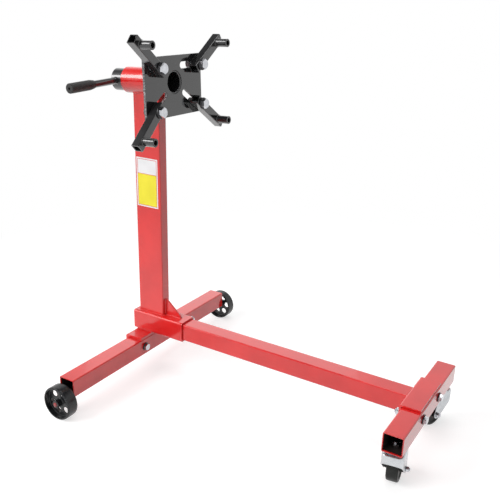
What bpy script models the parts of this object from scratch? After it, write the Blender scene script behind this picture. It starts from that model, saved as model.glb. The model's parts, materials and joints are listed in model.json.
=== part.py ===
"""Engine stand: a wheeled T-shaped base of square tube, a post and a turning
mounting head with four adjustable arms. Metres, +Z up, the floor at z = 0,
+X along the leg towards the casters."""

import math

import bmesh
import bpy
from mathutils import Vector

# Gaps between neighbouring pieces
SEAT_GAP = 0.0003
HOLE_CLEARANCE = 0.0005
RUNNING_CLEARANCE = 0.0005

# Facets of round pieces
ROUND_SIDES = 24
WHEEL_SIDES = 36
WEB_HOLE_SIDES = 16
CORNER_STEPS = 3

# Cross tubes at the back and the front of the base
CROSS_TUBE_SIZE = 0.050
CROSS_TUBE_WALL = 0.0025
CROSS_TUBE_CORNER = 0.0035
REAR_TUBE_LENGTH = 0.700
FRONT_TUBE_LENGTH = 0.388

# Leg and the short sleeve that holds it; distances run from the rear axle line
LEG_SIZE = 0.050
LEG_WALL = 0.003
LEG_CORNER = 0.004
LEG_REACH = 0.8125
LEG_TAIL = 0.030
LEG_CLEARANCE = 0.0005
SLEEVE_WALL = 0.0045
SLEEVE_CORNER = 0.006
SLEEVE_TAIL = 0.040
SLEEVE_LEDGE = 0.024
FRONT_TUBE_DROP = 0.0024

# Angle brackets that bolt the cross tubes on
BRACKET_LENGTH = 0.153
REAR_BRACKET_THICKNESS = 0.008
FRONT_BRACKET_THICKNESS = 0.006
BRACKET_FLANGE_DEPTH = 0.047
FRONT_BRACKET_SHORTFALL = 0.003
BRACKET_BOLT_SPREAD = 0.116

# Post and its gusset
POST_DEPTH = 0.088
POST_WIDTH = 0.031
POST_WALL = 0.003
POST_CORNER = 0.003
POST_CENTRE = 0.0157
GUSSET_HEIGHT = 0.047
GUSSET_REACH = 0.054
GUSSET_NOSE = 0.006
GUSSET_THICKNESS = 0.006

# Turning head: collar on the post, tube in the collar, plate on the tube
HEAD_AXIS_RISE = 0.6735
HEAD_TILT = math.radians(2.0)
ROTATING_TUBE_DIAMETER = 0.060
ROTATING_TUBE_WALL = 0.004
ROTATING_TUBE_STICKOUT = 0.038
ROTATING_TUBE_RECESS = 0.003
COLLAR_WALL = 0.0045
COLLAR_LENGTH = 0.143
COLLAR_TO_PLATE = 0.004
PLATE_REACH = 0.0864
PLATE_WIDTH = 0.235
PLATE_HEIGHT = 0.155
PLATE_THICKNESS = 0.008
PLATE_CORNER = 0.003
PLATE_DROP = 0.0095

# Slots in the plate, by the centres of their round ends
SLOT_PLAY = 0.0015
UPPER_SLOT_BELOW_TOP = 0.027
UPPER_SLOT_INNER = 0.0345
LOWER_SLOT_ABOVE_BOTTOM = 0.020
LOWER_SLOT_INNER = 0.041
LOWER_SLOT_INNER_DROP = 0.030
SLOT_TO_SIDE = 0.022

# Arms: each has its bolt's distance from the slot's outer end and its slope
ARM_SIZE = 0.024
ARM_WALL = 0.0025
ARM_CORNER = 0.002
ARM_REACH = 0.1145
ARM_TAIL = 0.022
SPACER_FROM_END = 0.0225
SPACER_DIAMETER = 0.022
SPACER_BORE = 0.013
SPACER_LENGTH = 0.034
ARM_PLACES = {
    "upper_right": (0.0133, math.radians(39.9)),
    "upper_left": (0.0067, math.radians(34.0)),
    "lower_right": (0.0030, math.radians(43.7)),
    "lower_left": (0.0077, math.radians(34.8)),
}

# Handle bar through the turning tube
HANDLE_DIAMETER = 0.019
HANDLE_SETBACK = 0.022
HANDLE_REACH = 0.201
HANDLE_TAIL = 0.046
HANDLE_ROLL = math.radians(2.0)
GRIP_DIAMETER = 0.026
GRIP_LENGTH = 0.086
GRIP_TAPER = 0.010
GRIP_END = 0.004
GRIP_VENT = 0.006

# Fasteners: thread sizes, and the usual proportions to the thread
ARM_BOLT = 0.016
FRAME_BOLT = 0.012
CASTER_BOLT = 0.008
ACROSS_FLATS_RATIO = 1.5
HEAD_HEIGHT_RATIO = 0.63
NUT_HEIGHT_RATIO = 0.8
WASHER_RATIO = 2.0
WASHER_THICKNESS_RATIO = 0.19
THREAD_STICKOUT_RATIO = 0.3
TIP_CHAMFER_RATIO = 0.1
LOCK_BOSS_HEIGHT = 0.012
LOCK_HEAD_STANDOFF = 0.012
COLLAR_LOCK_SETBACK = 0.072
SLEEVE_LOCK_SETBACK = 0.030

# Rear wheels on stub axles under the rear tube
AXLE_DIAMETER = 0.0124
AXLE_WELD_LENGTH = 0.060
AXLE_TIP = 0.002
REAR_WHEEL_DIAMETER = 0.093
REAR_WHEEL_WIDTH = 0.032
REAR_WHEEL_OFFSET = 0.0095
REAR_TREAD_ROUND = 0.004
REAR_RIM_THICKNESS = 0.008
REAR_WEB_THICKNESS = 0.006
REAR_HUB_WALL = 0.006
WEB_HOLE_COUNT = 6
WEB_HOLE_DIAMETER = 0.0166
WEB_HOLE_TURN = {"right": math.radians(12), "left": math.radians(2)}
AXLE_CAP_WALL = 0.004
AXLE_CAP_THICKNESS = 0.003

# Swivel casters under the front tube
CASTER_INSET = 0.031
CASTER_SETBACK = 0.003
CASTER_TRAIL = 0.028
CASTER_WHEEL_DIAMETER = 0.072
CASTER_WHEEL_WIDTH = 0.029
CASTER_TREAD_ROUND = 0.003
CASTER_RIM_THICKNESS = 0.008
CASTER_RIM_RECESS = 0.003
CASTER_HUB_WALL = 0.005
CASTER_HUB_STANDOUT = 0.0088
CASTER_STEM = 0.012
RACE_DIAMETER = 0.047
RACE_THICKNESS = 0.005
RACE_NECK_DIAMETER = 0.034
RACE_NECK_HEIGHT = 0.004
FORK_THICKNESS = 0.0025
FORK_SKIRT = 0.022
FORK_CORNER = 0.014
FORK_EYE = 0.011
FORK_BACK = 0.024
RIVET_DIAMETER = 0.020
RIVET_HEIGHT = 0.004
RIVET_TO_TREAD = 0.0174
CASTER_TURN = {"right": math.radians(98), "left": math.radians(248)}

# Colour, roughness and metallic value of each finish
FINISHES = {
    "red_paint": ((0.60, 0.020, 0.024), 0.32, 0.0),
    "black_paint": ((0.018, 0.018, 0.020), 0.30, 0.0),
    "zinc": ((0.72, 0.73, 0.75), 0.32, 1.0),
    "cast_wheel": ((0.045, 0.047, 0.050), 0.48, 0.0),
    "black_rubber": ((0.022, 0.022, 0.024), 0.70, 0.0),
}

SIDES = {"right": -1, "left": 1}

# Heights and lengths that follow from the sizes, from the rear axle line
axle_radius = AXLE_DIAMETER / 2
rear_wheel_radius = REAR_WHEEL_DIAMETER / 2
cross_half = CROSS_TUBE_SIZE / 2
rear_tube_centre = axle_radius + SEAT_GAP + cross_half
rear_tube_top = rear_tube_centre + cross_half
rear_bracket_top = rear_tube_top + SEAT_GAP + REAR_BRACKET_THICKNESS
sleeve_size = LEG_SIZE + 2 * (LEG_CLEARANCE + SLEEVE_WALL)
leg_centre = rear_bracket_top + SEAT_GAP + sleeve_size / 2
sleeve_top = leg_centre + sleeve_size / 2
post_front = POST_CENTRE + POST_DEPTH / 2
sleeve_front = post_front + SEAT_GAP + GUSSET_REACH + SLEEVE_LEDGE
front_flange_back = LEG_REACH + SEAT_GAP
front_tube_back = front_flange_back + FRONT_BRACKET_THICKNESS + SEAT_GAP
front_tube_x = front_tube_back + cross_half
front_tube_top = leg_centre + LEG_SIZE / 2 - FRONT_TUBE_DROP
front_tube_centre = front_tube_top - cross_half
front_bracket_top = front_tube_top + SEAT_GAP + FRONT_BRACKET_THICKNESS
bolt_y = BRACKET_BOLT_SPREAD / 2

# Caster heights, from the underside of the front tube
caster_wheel_radius = CASTER_WHEEL_DIAMETER / 2
neck_bottom = SEAT_GAP + RACE_THICKNESS + RACE_NECK_HEIGHT
crown_top = neck_bottom + SEAT_GAP
crown_bottom = crown_top + FORK_THICKNESS
rivet_bottom = crown_bottom + SEAT_GAP + RIVET_HEIGHT
caster_axle_drop = rivet_bottom + RIVET_TO_TREAD + caster_wheel_radius
caster_x = front_tube_x - CASTER_SETBACK
caster_y = FRONT_TUBE_LENGTH / 2 - CASTER_INSET

# Head sizes, along its axis back from the front face of the plate
rotating_radius = ROTATING_TUBE_DIAMETER / 2
collar_bore = rotating_radius + RUNNING_CLEARANCE
collar_radius = collar_bore + COLLAR_WALL
collar_front = -(PLATE_THICKNESS + COLLAR_TO_PLATE)
collar_back = collar_front - COLLAR_LENGTH
plate_top = PLATE_HEIGHT / 2 - PLATE_DROP
plate_bottom = -PLATE_HEIGHT / 2 - PLATE_DROP
arm_back = SEAT_GAP
arm_front = arm_back + ARM_SIZE


def place(u, v, w, axis):
    """Point with w along the named axis and u, v across it, in axis order."""
    if axis == "X":
        return (w, u, v)
    if axis == "Y":
        return (u, w, v)
    return (u, v, w)


def finish_object(name, vertices, faces, parent, finish):
    """Closed mesh object with outward faces, its own material and a parent."""
    mesh = bpy.data.meshes.new(name)
    mesh.from_pydata(vertices, [], faces)
    work = bmesh.new()
    work.from_mesh(mesh)
    bmesh.ops.recalc_face_normals(work, faces=work.faces)
    work.to_mesh(mesh)
    work.free()
    mesh.shade_smooth()
    mesh.set_sharp_from_angle(angle=math.radians(32))
    piece = bpy.data.objects.new(name, mesh)
    bpy.context.collection.objects.link(piece)
    piece.parent = parent
    if finish:
        mesh.materials.append(new_material(name, finish))
    return piece


def new_material(name, finish):
    """Principled material for one piece, from its finish."""
    colour, roughness, metallic = FINISHES[finish]
    material = bpy.data.materials.new(name + "_" + finish)
    material.use_nodes = True
    shader = material.node_tree.nodes["Principled BSDF"]
    shader.inputs["Base Color"].default_value = (*colour, 1.0)
    shader.inputs["Roughness"].default_value = roughness
    shader.inputs["Metallic"].default_value = metallic
    material.diffuse_color = (*colour, 1.0)
    return material


def new_empty(name, parent=None, location=(0, 0, 0), rotation=(0, 0, 0)):
    """Empty that carries the pieces of one body."""
    carrier = bpy.data.objects.new(name, None)
    bpy.context.collection.objects.link(carrier)
    carrier.parent = parent
    carrier.location = location
    carrier.rotation_euler = rotation
    return carrier


def circle(radius, height, sides=ROUND_SIDES):
    """Ring of points round the w axis."""
    turns = [2 * math.pi * i / sides for i in range(sides)]
    return [(radius * math.cos(a), radius * math.sin(a), height) for a in turns]


def hexagon(across_flats, height, sides=ROUND_SIDES):
    """Ring of points on a hexagon with upright corners, with a point on every corner."""
    points = []
    for i in range(sides):
        turn = 2 * math.pi * i / sides
        from_flat = (turn + math.pi / 6) % (math.pi / 3) - math.pi / 6
        radius = across_flats / 2 / math.cos(from_flat)
        points.append((radius * math.cos(turn), radius * math.sin(turn), height))
    return points


def rounded_rectangle(width, height, corner, centre=(0, 0)):
    """Outline of a rectangle with round corners, anticlockwise."""
    points = []
    for quarter, (su, sv) in enumerate(((1, 1), (-1, 1), (-1, -1), (1, -1))):
        corner_u = centre[0] + su * (width / 2 - corner)
        corner_v = centre[1] + sv * (height / 2 - corner)
        for step in range(CORNER_STEPS + 1):
            turn = math.pi / 2 * (quarter + step / CORNER_STEPS)
            points.append((corner_u + corner * math.cos(turn), corner_v + corner * math.sin(turn)))
    return points


def skinned(name, rings, axis, parent, finish, looped=False):
    """Solid through rings of equal count: capped at both ends, or looped round."""
    count = len(rings[0])
    vertices = [place(*point, axis) for ring in rings for point in ring]
    faces = []
    spans = len(rings) if looped else len(rings) - 1
    for k in range(spans):
        lower = k * count
        upper = (k + 1) % len(rings) * count
        for i in range(count):
            j = (i + 1) % count
            faces.append((lower + i, lower + j, upper + j, upper + i))
    if not looped:
        faces.append(tuple(range(count)))
        faces.append(tuple(range(len(rings) * count - count, len(rings) * count)))
    return finish_object(name, vertices, faces, parent, finish)


def extruded(name, outline, start, end, axis, parent, finish):
    """Solid of one outline, from start to end along an axis."""
    rings = [[(u, v, w) for u, v in outline] for w in (start, end)]
    return skinned(name, rings, axis, parent, finish)


def hollow_section(name, size_u, size_v, wall, corner, start, end, axis, parent, finish, centre=(0, 0)):
    """Rectangular tube, open at both ends, with round corners inside and out."""
    outer = rounded_rectangle(size_u, size_v, corner, centre)
    inner_corner = max(corner - wall, wall / 4)
    inner = rounded_rectangle(size_u - 2 * wall, size_v - 2 * wall, inner_corner, centre)
    rings = []
    for outline, ends in ((outer, (start, end)), (inner, (end, start))):
        rings += [[(u, v, w) for u, v in outline] for w in ends]
    return skinned(name, rings, axis, parent, finish, looped=True)


def pipe(name, outer, inner, start, end, axis, parent, finish, sides=ROUND_SIDES):
    """Round tube, open at both ends."""
    rings = [circle(outer, start, sides), circle(outer, end, sides)]
    rings += [circle(inner, end, sides), circle(inner, start, sides)]
    return skinned(name, rings, axis, parent, finish, looped=True)


def cut(piece, cutter, operation="DIFFERENCE"):
    """Boolean of a piece with a hidden cutter that moves with it."""
    cutter.hide_render = True
    cutter.display_type = "WIRE"
    boolean = piece.modifiers.new(cutter.name, "BOOLEAN")
    boolean.operation = operation
    boolean.solver = "EXACT"
    boolean.object = cutter


def drill(piece, name, radius, start, end, axis, at, sides=ROUND_SIDES):
    """Round hole through a piece; at is the point on its axis, from the piece's parent."""
    rings = [circle(radius, start, sides), circle(radius, end, sides)]
    cutter = skinned("cut_" + name, rings, axis, piece.parent, None)
    cutter.location = at
    cut(piece, cutter)


def across_flats(thread):
    return thread * ACROSS_FLATS_RATIO


def nut_height(thread):
    return thread * NUT_HEIGHT_RATIO


def washer_thickness(thread):
    return thread * WASHER_THICKNESS_RATIO


def bolt_length(grip, thread):
    """Shank from under the washer to the tip, through a nut."""
    return grip + 3 * SEAT_GAP + nut_height(thread) + thread * THREAD_STICKOUT_RATIO


def bolt(name, thread, length, axis, towards, at, parent, finish="zinc"):
    """Hex bolt with its washer; at is under the washer and the head points towards +1 or -1."""
    radius = thread / 2
    chamfer = thread * TIP_CHAMFER_RATIO
    washer = thread * WASHER_RATIO / 2
    under_head = washer_thickness(thread)
    top = under_head + thread * HEAD_HEIGHT_RATIO
    flats = across_flats(thread)
    rings = [circle(radius - chamfer, -length), circle(radius, chamfer - length), circle(radius, 0)]
    rings += [circle(washer, 0), circle(washer, under_head), hexagon(flats, under_head)]
    rings += [hexagon(flats, top - chamfer), circle(flats / 2 - chamfer / 2, top)]
    rings = [[(u, v, w * towards) for u, v, w in ring] for ring in rings]
    piece = skinned(name, rings, axis, parent, finish)
    piece.location = at
    return piece


def nut(name, thread, axis, towards, at, parent, finish="zinc"):
    """Hex nut; at is its bearing face and it stands towards +1 or -1."""
    bore = thread / 2 + SEAT_GAP
    chamfer = thread * TIP_CHAMFER_RATIO
    top = nut_height(thread)
    flats = across_flats(thread)
    rings = [circle(bore, 0), hexagon(flats, 0), hexagon(flats, top - chamfer)]
    rings += [circle(flats / 2 - chamfer / 2, top), circle(bore, top)]
    rings = [[(u, v, w * towards) for u, v, w in ring] for ring in rings]
    piece = skinned(name, rings, axis, parent, finish, looped=True)
    piece.location = at
    return piece


def frame_pitch():
    """Nose-down angle that sets the rear wheels and the casters on one floor."""
    run = caster_x
    rise = front_tube_centre - cross_half - caster_axle_drop
    lift = caster_wheel_radius - rear_wheel_radius
    return math.atan2(rise, run) - math.asin(lift / math.hypot(rise, run))


def build_rear_tube(frame):
    """Rear cross tube, its angle bracket and the two bolts through both."""
    half = REAR_TUBE_LENGTH / 2
    tube = hollow_section("rear_cross_tube", CROSS_TUBE_SIZE, CROSS_TUBE_SIZE, CROSS_TUBE_WALL,
                          CROSS_TUBE_CORNER, -half, half, "Y", frame, "red_paint",
                          centre=(0, rear_tube_centre))
    flange_front = -cross_half - SEAT_GAP
    flange_back = flange_front - REAR_BRACKET_THICKNESS
    flange_bottom = rear_bracket_top - REAR_BRACKET_THICKNESS - BRACKET_FLANGE_DEPTH
    plate_under = rear_tube_top + SEAT_GAP
    outline = [(flange_back, flange_bottom), (flange_front, flange_bottom), (flange_front, plate_under),
               (cross_half, plate_under), (cross_half, rear_bracket_top), (flange_back, rear_bracket_top)]
    bracket = extruded("rear_bracket", outline, -BRACKET_LENGTH / 2, BRACKET_LENGTH / 2, "Y", frame,
                       "red_paint")
    grip = CROSS_TUBE_SIZE + REAR_BRACKET_THICKNESS + 2 * SEAT_GAP
    for side, sign in SIDES.items():
        at = (cross_half + SEAT_GAP, sign * bolt_y, rear_tube_centre)
        fasten(("rear_bracket", side), (tube, bracket), FRAME_BOLT, grip, at, frame)


def fasten(label, pieces, thread, grip, at, parent):
    """Bolt from the front along X through pieces, with its holes and its nut behind."""
    stem, side = label
    hole = thread / 2 + HOLE_CLEARANCE
    reach = grip + thread
    for piece in pieces:
        drill(piece, f"{piece.name}_bolt_{side}", hole, -reach, thread, "X", at)
    bolt(f"{stem}_bolt_{side}", thread, bolt_length(grip, thread), "X", 1, at, parent)
    behind = (at[0] - grip - 2 * SEAT_GAP, at[1], at[2])
    nut(f"{stem}_nut_{side}", thread, "X", -1, behind, parent)


def build_leg(frame):
    """Sleeve on the rear bracket, the leg in it and the lock bolt on the left side."""
    sleeve = hollow_section("base_sleeve", sleeve_size, sleeve_size, SLEEVE_WALL, SLEEVE_CORNER,
                            -SLEEVE_TAIL, sleeve_front, "X", frame, "red_paint", centre=(0, leg_centre))
    hollow_section("main_leg", LEG_SIZE, LEG_SIZE, LEG_WALL, LEG_CORNER, -LEG_TAIL, LEG_REACH,
                   "X", frame, "red_paint", centre=(0, leg_centre))
    lock_x = sleeve_front - SLEEVE_LOCK_SETBACK
    surface = sleeve_size / 2
    drill(sleeve, "base_sleeve_lock", FRAME_BOLT / 2 + HOLE_CLEARANCE, LEG_SIZE / 2 - FRAME_BOLT,
          surface + FRAME_BOLT, "Y", (lock_x, 0, leg_centre))
    lock_set("leg_lock", (lock_x, 0, leg_centre), surface, LEG_SIZE / 2, frame)


def lock_set(stem, at, surface, contact, parent):
    """Weld nut on a side wall, and the bolt through it whose tip bears on what it locks."""
    boss_foot = surface + SEAT_GAP
    boss_top = boss_foot + LOCK_BOSS_HEIGHT
    boss_radius = across_flats(FRAME_BOLT) / 2
    bore = FRAME_BOLT / 2 + SEAT_GAP
    boss = pipe(stem + "_boss", boss_radius, bore, boss_foot, boss_top, "Y", parent, "red_paint")
    boss.location = at
    under_head = boss_top + LOCK_HEAD_STANDOFF
    tip = contact + SEAT_GAP
    seat = (at[0], at[1] + under_head, at[2])
    bolt(stem + "_bolt", FRAME_BOLT, under_head - tip, "Y", 1, seat, parent)


def build_front_tube(frame):
    """Front cross tube, the angle bracket on the leg's end and its two bolts."""
    half = FRONT_TUBE_LENGTH / 2
    tube = hollow_section("front_cross_tube", CROSS_TUBE_SIZE, CROSS_TUBE_SIZE, CROSS_TUBE_WALL,
                          CROSS_TUBE_CORNER, -half, half, "Y", frame, "red_paint",
                          centre=(front_tube_x, front_tube_centre))
    back = front_flange_back
    face = back + FRONT_BRACKET_THICKNESS
    under = front_tube_top + SEAT_GAP
    bottom = under - BRACKET_FLANGE_DEPTH
    nose = front_tube_x + cross_half - FRONT_BRACKET_SHORTFALL
    outline = [(back, bottom), (face, bottom), (face, under), (nose, under),
               (nose, front_bracket_top), (back, front_bracket_top)]
    bracket = extruded("front_bracket", outline, -BRACKET_LENGTH / 2, BRACKET_LENGTH / 2, "Y", frame,
                       "red_paint")
    grip = CROSS_TUBE_SIZE + FRONT_BRACKET_THICKNESS + 2 * SEAT_GAP
    for side, sign in SIDES.items():
        at = (front_tube_x + cross_half + SEAT_GAP, sign * bolt_y, front_tube_centre)
        fasten(("front_bracket", side), (tube, bracket), FRAME_BOLT, grip, at, frame)
        stem_hole = CASTER_STEM / 2 + HOLE_CLEARANCE
        swivel = (caster_x, sign * caster_y, front_tube_centre - cross_half)
        drill(tube, f"front_tube_stem_{side}", stem_hole, -CASTER_STEM, CASTER_STEM, "Z", swivel)


def build_post(frame, head):
    """Post coped to the collar, its gusset and the collar with its lock bolt."""
    foot = sleeve_top + SEAT_GAP
    raw_top = sleeve_top + HEAD_AXIS_RISE - collar_radius / 2
    post = hollow_section("post", POST_DEPTH, POST_WIDTH, POST_WALL, POST_CORNER, foot, raw_top,
                          "Z", frame, "red_paint", centre=(POST_CENTRE, 0))
    cope = pipe("cut_post_cope", collar_radius + SEAT_GAP, rotating_radius / 2, collar_back - POST_DEPTH,
                POST_DEPTH, "X", head, None, WHEEL_SIDES)
    cut(post, cope)
    wall = post_front + SEAT_GAP
    outline = [(wall, foot), (wall + GUSSET_REACH, foot), (wall + GUSSET_REACH, foot + GUSSET_NOSE),
               (wall + GUSSET_NOSE, foot + GUSSET_HEIGHT), (wall, foot + GUSSET_HEIGHT)]
    extruded("post_gusset", outline, -GUSSET_THICKNESS / 2, GUSSET_THICKNESS / 2, "Y", frame, "red_paint")


def build_collar(mount):
    """Fixed collar on top of the post, with its lock bolt on the left side."""
    collar = pipe("head_collar", collar_radius, collar_bore, collar_back, collar_front, "X", mount,
                  "red_paint", WHEEL_SIDES)
    at = (collar_front - COLLAR_LOCK_SETBACK, 0, 0)
    drill(collar, "head_collar_lock", FRAME_BOLT / 2 + HOLE_CLEARANCE, rotating_radius - FRAME_BOLT,
          collar_radius + FRAME_BOLT, "Y", at)
    lock_set("head_lock", at, collar_radius, rotating_radius, mount)


def slot_ends(row, sign):
    """Centres of a slot's inner and outer round ends, across the plate."""
    outer_y = sign * (PLATE_WIDTH / 2 - SLOT_TO_SIDE)
    if row == "upper":
        height = plate_top - UPPER_SLOT_BELOW_TOP
        return Vector((sign * UPPER_SLOT_INNER, height)), Vector((outer_y, height))
    inner = Vector((sign * LOWER_SLOT_INNER, -LOWER_SLOT_INNER_DROP))
    return inner, Vector((outer_y, plate_bottom + LOWER_SLOT_ABOVE_BOTTOM))


def slot_outline(inner, outer, radius):
    """Outline of a slot with round ends."""
    along = math.atan2(outer.y - inner.y, outer.x - inner.x)
    points = []
    steps = ROUND_SIDES // 2
    for centre, start in ((outer, along - math.pi / 2), (inner, along + math.pi / 2)):
        for step in range(steps + 1):
            turn = start + math.pi * step / steps
            points.append((centre.x + radius * math.cos(turn), centre.y + radius * math.sin(turn)))
    return points


def build_plate(head):
    """Mounting plate welded on the turning tube, with its four slots."""
    outline = rounded_rectangle(PLATE_WIDTH, PLATE_HEIGHT, PLATE_CORNER, (0, -PLATE_DROP))
    plate = extruded("head_plate", outline, -PLATE_THICKNESS, 0, "X", head, "black_paint")
    drill(plate, "head_plate_tube", rotating_radius + SEAT_GAP, -2 * PLATE_THICKNESS, PLATE_THICKNESS, "X",
          (0, 0, 0), WHEEL_SIDES)
    for row in ("upper", "lower"):
        for side, sign in SIDES.items():
            slot = slot_outline(*slot_ends(row, sign), ARM_BOLT / 2 + SLOT_PLAY)
            name = f"cut_slot_{row}_{side}"
            cut(plate, extruded(name, slot, -2 * PLATE_THICKNESS, PLATE_THICKNESS, "X", head, None))
    tube_back = collar_back - ROTATING_TUBE_STICKOUT
    tube = pipe("rotating_tube", rotating_radius, rotating_radius - ROTATING_TUBE_WALL, tube_back,
                -ROTATING_TUBE_RECESS, "X", head, "black_paint", WHEEL_SIDES)
    return tube


def build_handle(head, tube):
    """Handle bar through two holes behind the collar, with a rubber grip on its right end."""
    carrier = new_empty("handle_slide", head, (collar_back - HANDLE_SETBACK, 0, 0), (HANDLE_ROLL, 0, 0))
    radius = HANDLE_DIAMETER / 2
    past_wall = ROTATING_TUBE_DIAMETER
    hole = [circle(radius + RUNNING_CLEARANCE, w) for w in (-past_wall, past_wall)]
    cut(tube, skinned("cut_handle_hole", hole, "Y", carrier, None))
    edge = radius * TIP_CHAMFER_RATIO
    bar_end = GRIP_END + SEAT_GAP - HANDLE_REACH
    rings = [circle(radius - edge, bar_end), circle(radius, bar_end + edge)]
    rings += [circle(radius, HANDLE_TAIL - edge), circle(radius - edge, HANDLE_TAIL)]
    skinned("handle_bar", rings, "Y", carrier, "black_paint")
    bore = radius + SEAT_GAP
    grip_radius = GRIP_DIAMETER / 2
    inner_end = GRIP_LENGTH - HANDLE_REACH
    vent = GRIP_VENT / 2
    lip = bore + (grip_radius - bore) / 4
    round_off = GRIP_END / 2
    rings = [circle(vent, -HANDLE_REACH), circle(grip_radius - round_off, -HANDLE_REACH)]
    rings += [circle(grip_radius, round_off - HANDLE_REACH), circle(grip_radius, inner_end - GRIP_TAPER)]
    rings += [circle(lip, inner_end), circle(bore, inner_end)]
    rings += [circle(bore, GRIP_END - HANDLE_REACH), circle(vent, GRIP_END - HANDLE_REACH)]
    skinned("handle_grip", rings, "Y", carrier, "black_rubber", looped=True)


def build_arm(head, row, side):
    """Square-tube arm on its slot bolt, with the spacer tube near its outer end."""
    sign = SIDES[side]
    label = f"{row}_{side}"
    from_end, slope = ARM_PLACES[label]
    inner, outer = slot_ends(row, sign)
    pivot = outer + (inner - outer).normalized() * from_end
    seat = new_empty(f"arm_pivot_{label}", head, (0, pivot.x, pivot.y))
    bolt(f"arm_bolt_{label}", ARM_BOLT, bolt_length(ARM_SIZE + PLATE_THICKNESS, ARM_BOLT), "X", 1,
         (arm_front + SEAT_GAP, 0, 0), seat)
    nut(f"arm_nut_{label}", ARM_BOLT, "X", -1, (-PLATE_THICKNESS - SEAT_GAP, 0, 0), seat)
    lift = slope if row == "upper" else -slope
    turn = lift if sign > 0 else math.pi - lift
    swing = new_empty(f"arm_swing_{label}", seat, (0, 0, 0), (turn, 0, 0))
    middle = arm_back + ARM_SIZE / 2
    arm = hollow_section(f"arm_{label}", ARM_SIZE, ARM_SIZE, ARM_WALL, ARM_CORNER, -ARM_TAIL, ARM_REACH,
                         "Y", swing, "black_paint", centre=(middle, 0))
    spacer_at = ARM_REACH - SPACER_FROM_END
    drill(arm, f"arm_bolt_{label}", ARM_BOLT / 2 + HOLE_CLEARANCE, -ARM_SIZE, 2 * ARM_SIZE, "X", (0, 0, 0))
    drill(arm, f"arm_spacer_{label}", SPACER_BORE / 2, -ARM_SIZE, 2 * ARM_SIZE, "X", (0, spacer_at, 0))
    foot = arm_front + SEAT_GAP
    spacer = pipe(f"arm_spacer_{label}", SPACER_DIAMETER / 2, SPACER_BORE / 2, foot, foot + SPACER_LENGTH,
                  "X", swing, "black_paint")
    spacer.location = (0, spacer_at, 0)


def turned_wheel(name, sections, axis, parent, finish):
    """Wheel turned from (radius, distance along the axle) pairs round its bore."""
    rings = [circle(radius, w, WHEEL_SIDES) for radius, w in sections]
    return skinned(name, rings, axis, parent, finish, looped=True)


def build_rear_wheel(frame, side):
    """Stub axle under the rear tube, the holed wheel on it and its end cap."""
    sign = SIDES[side]
    inner_face = REAR_TUBE_LENGTH / 2 + REAR_WHEEL_OFFSET
    outer_face = inner_face + REAR_WHEEL_WIDTH
    hub_start = REAR_TUBE_LENGTH / 2 + 2 * SEAT_GAP
    cap_start = outer_face + SEAT_GAP
    cap_end = cap_start + AXLE_CAP_THICKNESS
    axle_end = cap_end + AXLE_TIP
    axle_start = REAR_TUBE_LENGTH / 2 - AXLE_WELD_LENGTH
    bevel = AXLE_TIP
    rings = [circle(axle_radius, sign * axle_start), circle(axle_radius, sign * (axle_end - bevel))]
    rings.append(circle(axle_radius - bevel, sign * axle_end))
    skinned(f"rear_axle_{side}", rings, "Y", frame, "red_paint")
    cap_bore = axle_radius + SEAT_GAP
    pipe(f"axle_cap_{side}", cap_bore + AXLE_CAP_WALL, cap_bore, sign * cap_start, sign * cap_end,
         "Y", frame, "zinc")
    bore = axle_radius + RUNNING_CLEARANCE
    hub = bore + REAR_HUB_WALL
    rim = rear_wheel_radius - REAR_RIM_THICKNESS
    round_off = REAR_TREAD_ROUND
    web_out = (inner_face + outer_face + REAR_WEB_THICKNESS) / 2
    web_in = web_out - REAR_WEB_THICKNESS
    profile = [(bore, hub_start), (hub, hub_start), (hub, web_in), (rim, web_in), (rim, inner_face),
               (rear_wheel_radius - round_off, inner_face), (rear_wheel_radius, inner_face + round_off),
               (rear_wheel_radius, outer_face - round_off), (rear_wheel_radius - round_off, outer_face),
               (rim, outer_face), (rim, web_out), (hub, web_out), (hub, outer_face), (bore, outer_face)]
    carrier = new_empty(f"rear_wheel_turn_{side}", frame, (0, 0, 0), (0, -WEB_HOLE_TURN[side], 0))
    sections = [(radius, sign * w) for radius, w in profile]
    wheel = turned_wheel(f"rear_wheel_{side}", sections, "Y", carrier, "cast_wheel")
    ring_radius = (hub + rim) / 2
    for k in range(WEB_HOLE_COUNT):
        turn = 2 * math.pi * k / WEB_HOLE_COUNT + math.pi / WHEEL_SIDES
        at = (ring_radius * math.cos(turn), sign * (web_in + web_out) / 2, ring_radius * math.sin(turn))
        drill(wheel, f"rear_wheel_{side}_{k}", WEB_HOLE_DIAMETER / 2, -REAR_WEB_THICKNESS,
              REAR_WEB_THICKNESS, "Y", at, WEB_HOLE_SIDES)


def fork_profile():
    """Side outline of the fork: skirt in front, legs down to a round eye at the axle."""
    half = fork_half_width()
    eye = Vector((CASTER_TRAIL, -caster_axle_drop))
    front_foot = Vector((-half, -crown_top - FORK_SKIRT))
    back_top = Vector((FORK_BACK, -crown_top))
    points = [(-half, -crown_top), (front_foot.x, front_foot.y)]
    start = tangent_turn(front_foot, eye, -1)
    end = tangent_turn(back_top, eye, 1)
    while end < start:
        end += 2 * math.pi
    steps = ROUND_SIDES // 2
    for step in range(steps + 1):
        turn = start + (end - start) * step / steps
        points.append((eye.x + FORK_EYE * math.cos(turn), eye.y + FORK_EYE * math.sin(turn)))
    points.append((back_top.x, back_top.y))
    return points


def tangent_turn(outside, eye, side):
    """Angle round the eye where a straight edge from an outside point meets it."""
    line = outside - eye
    return math.atan2(line.y, line.x) - side * math.acos(FORK_EYE / line.length)


def fork_half_width():
    """Outside half width of the fork across the caster's hub."""
    return CASTER_WHEEL_WIDTH / 2 + CASTER_HUB_STANDOUT + RUNNING_CLEARANCE + FORK_THICKNESS


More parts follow.
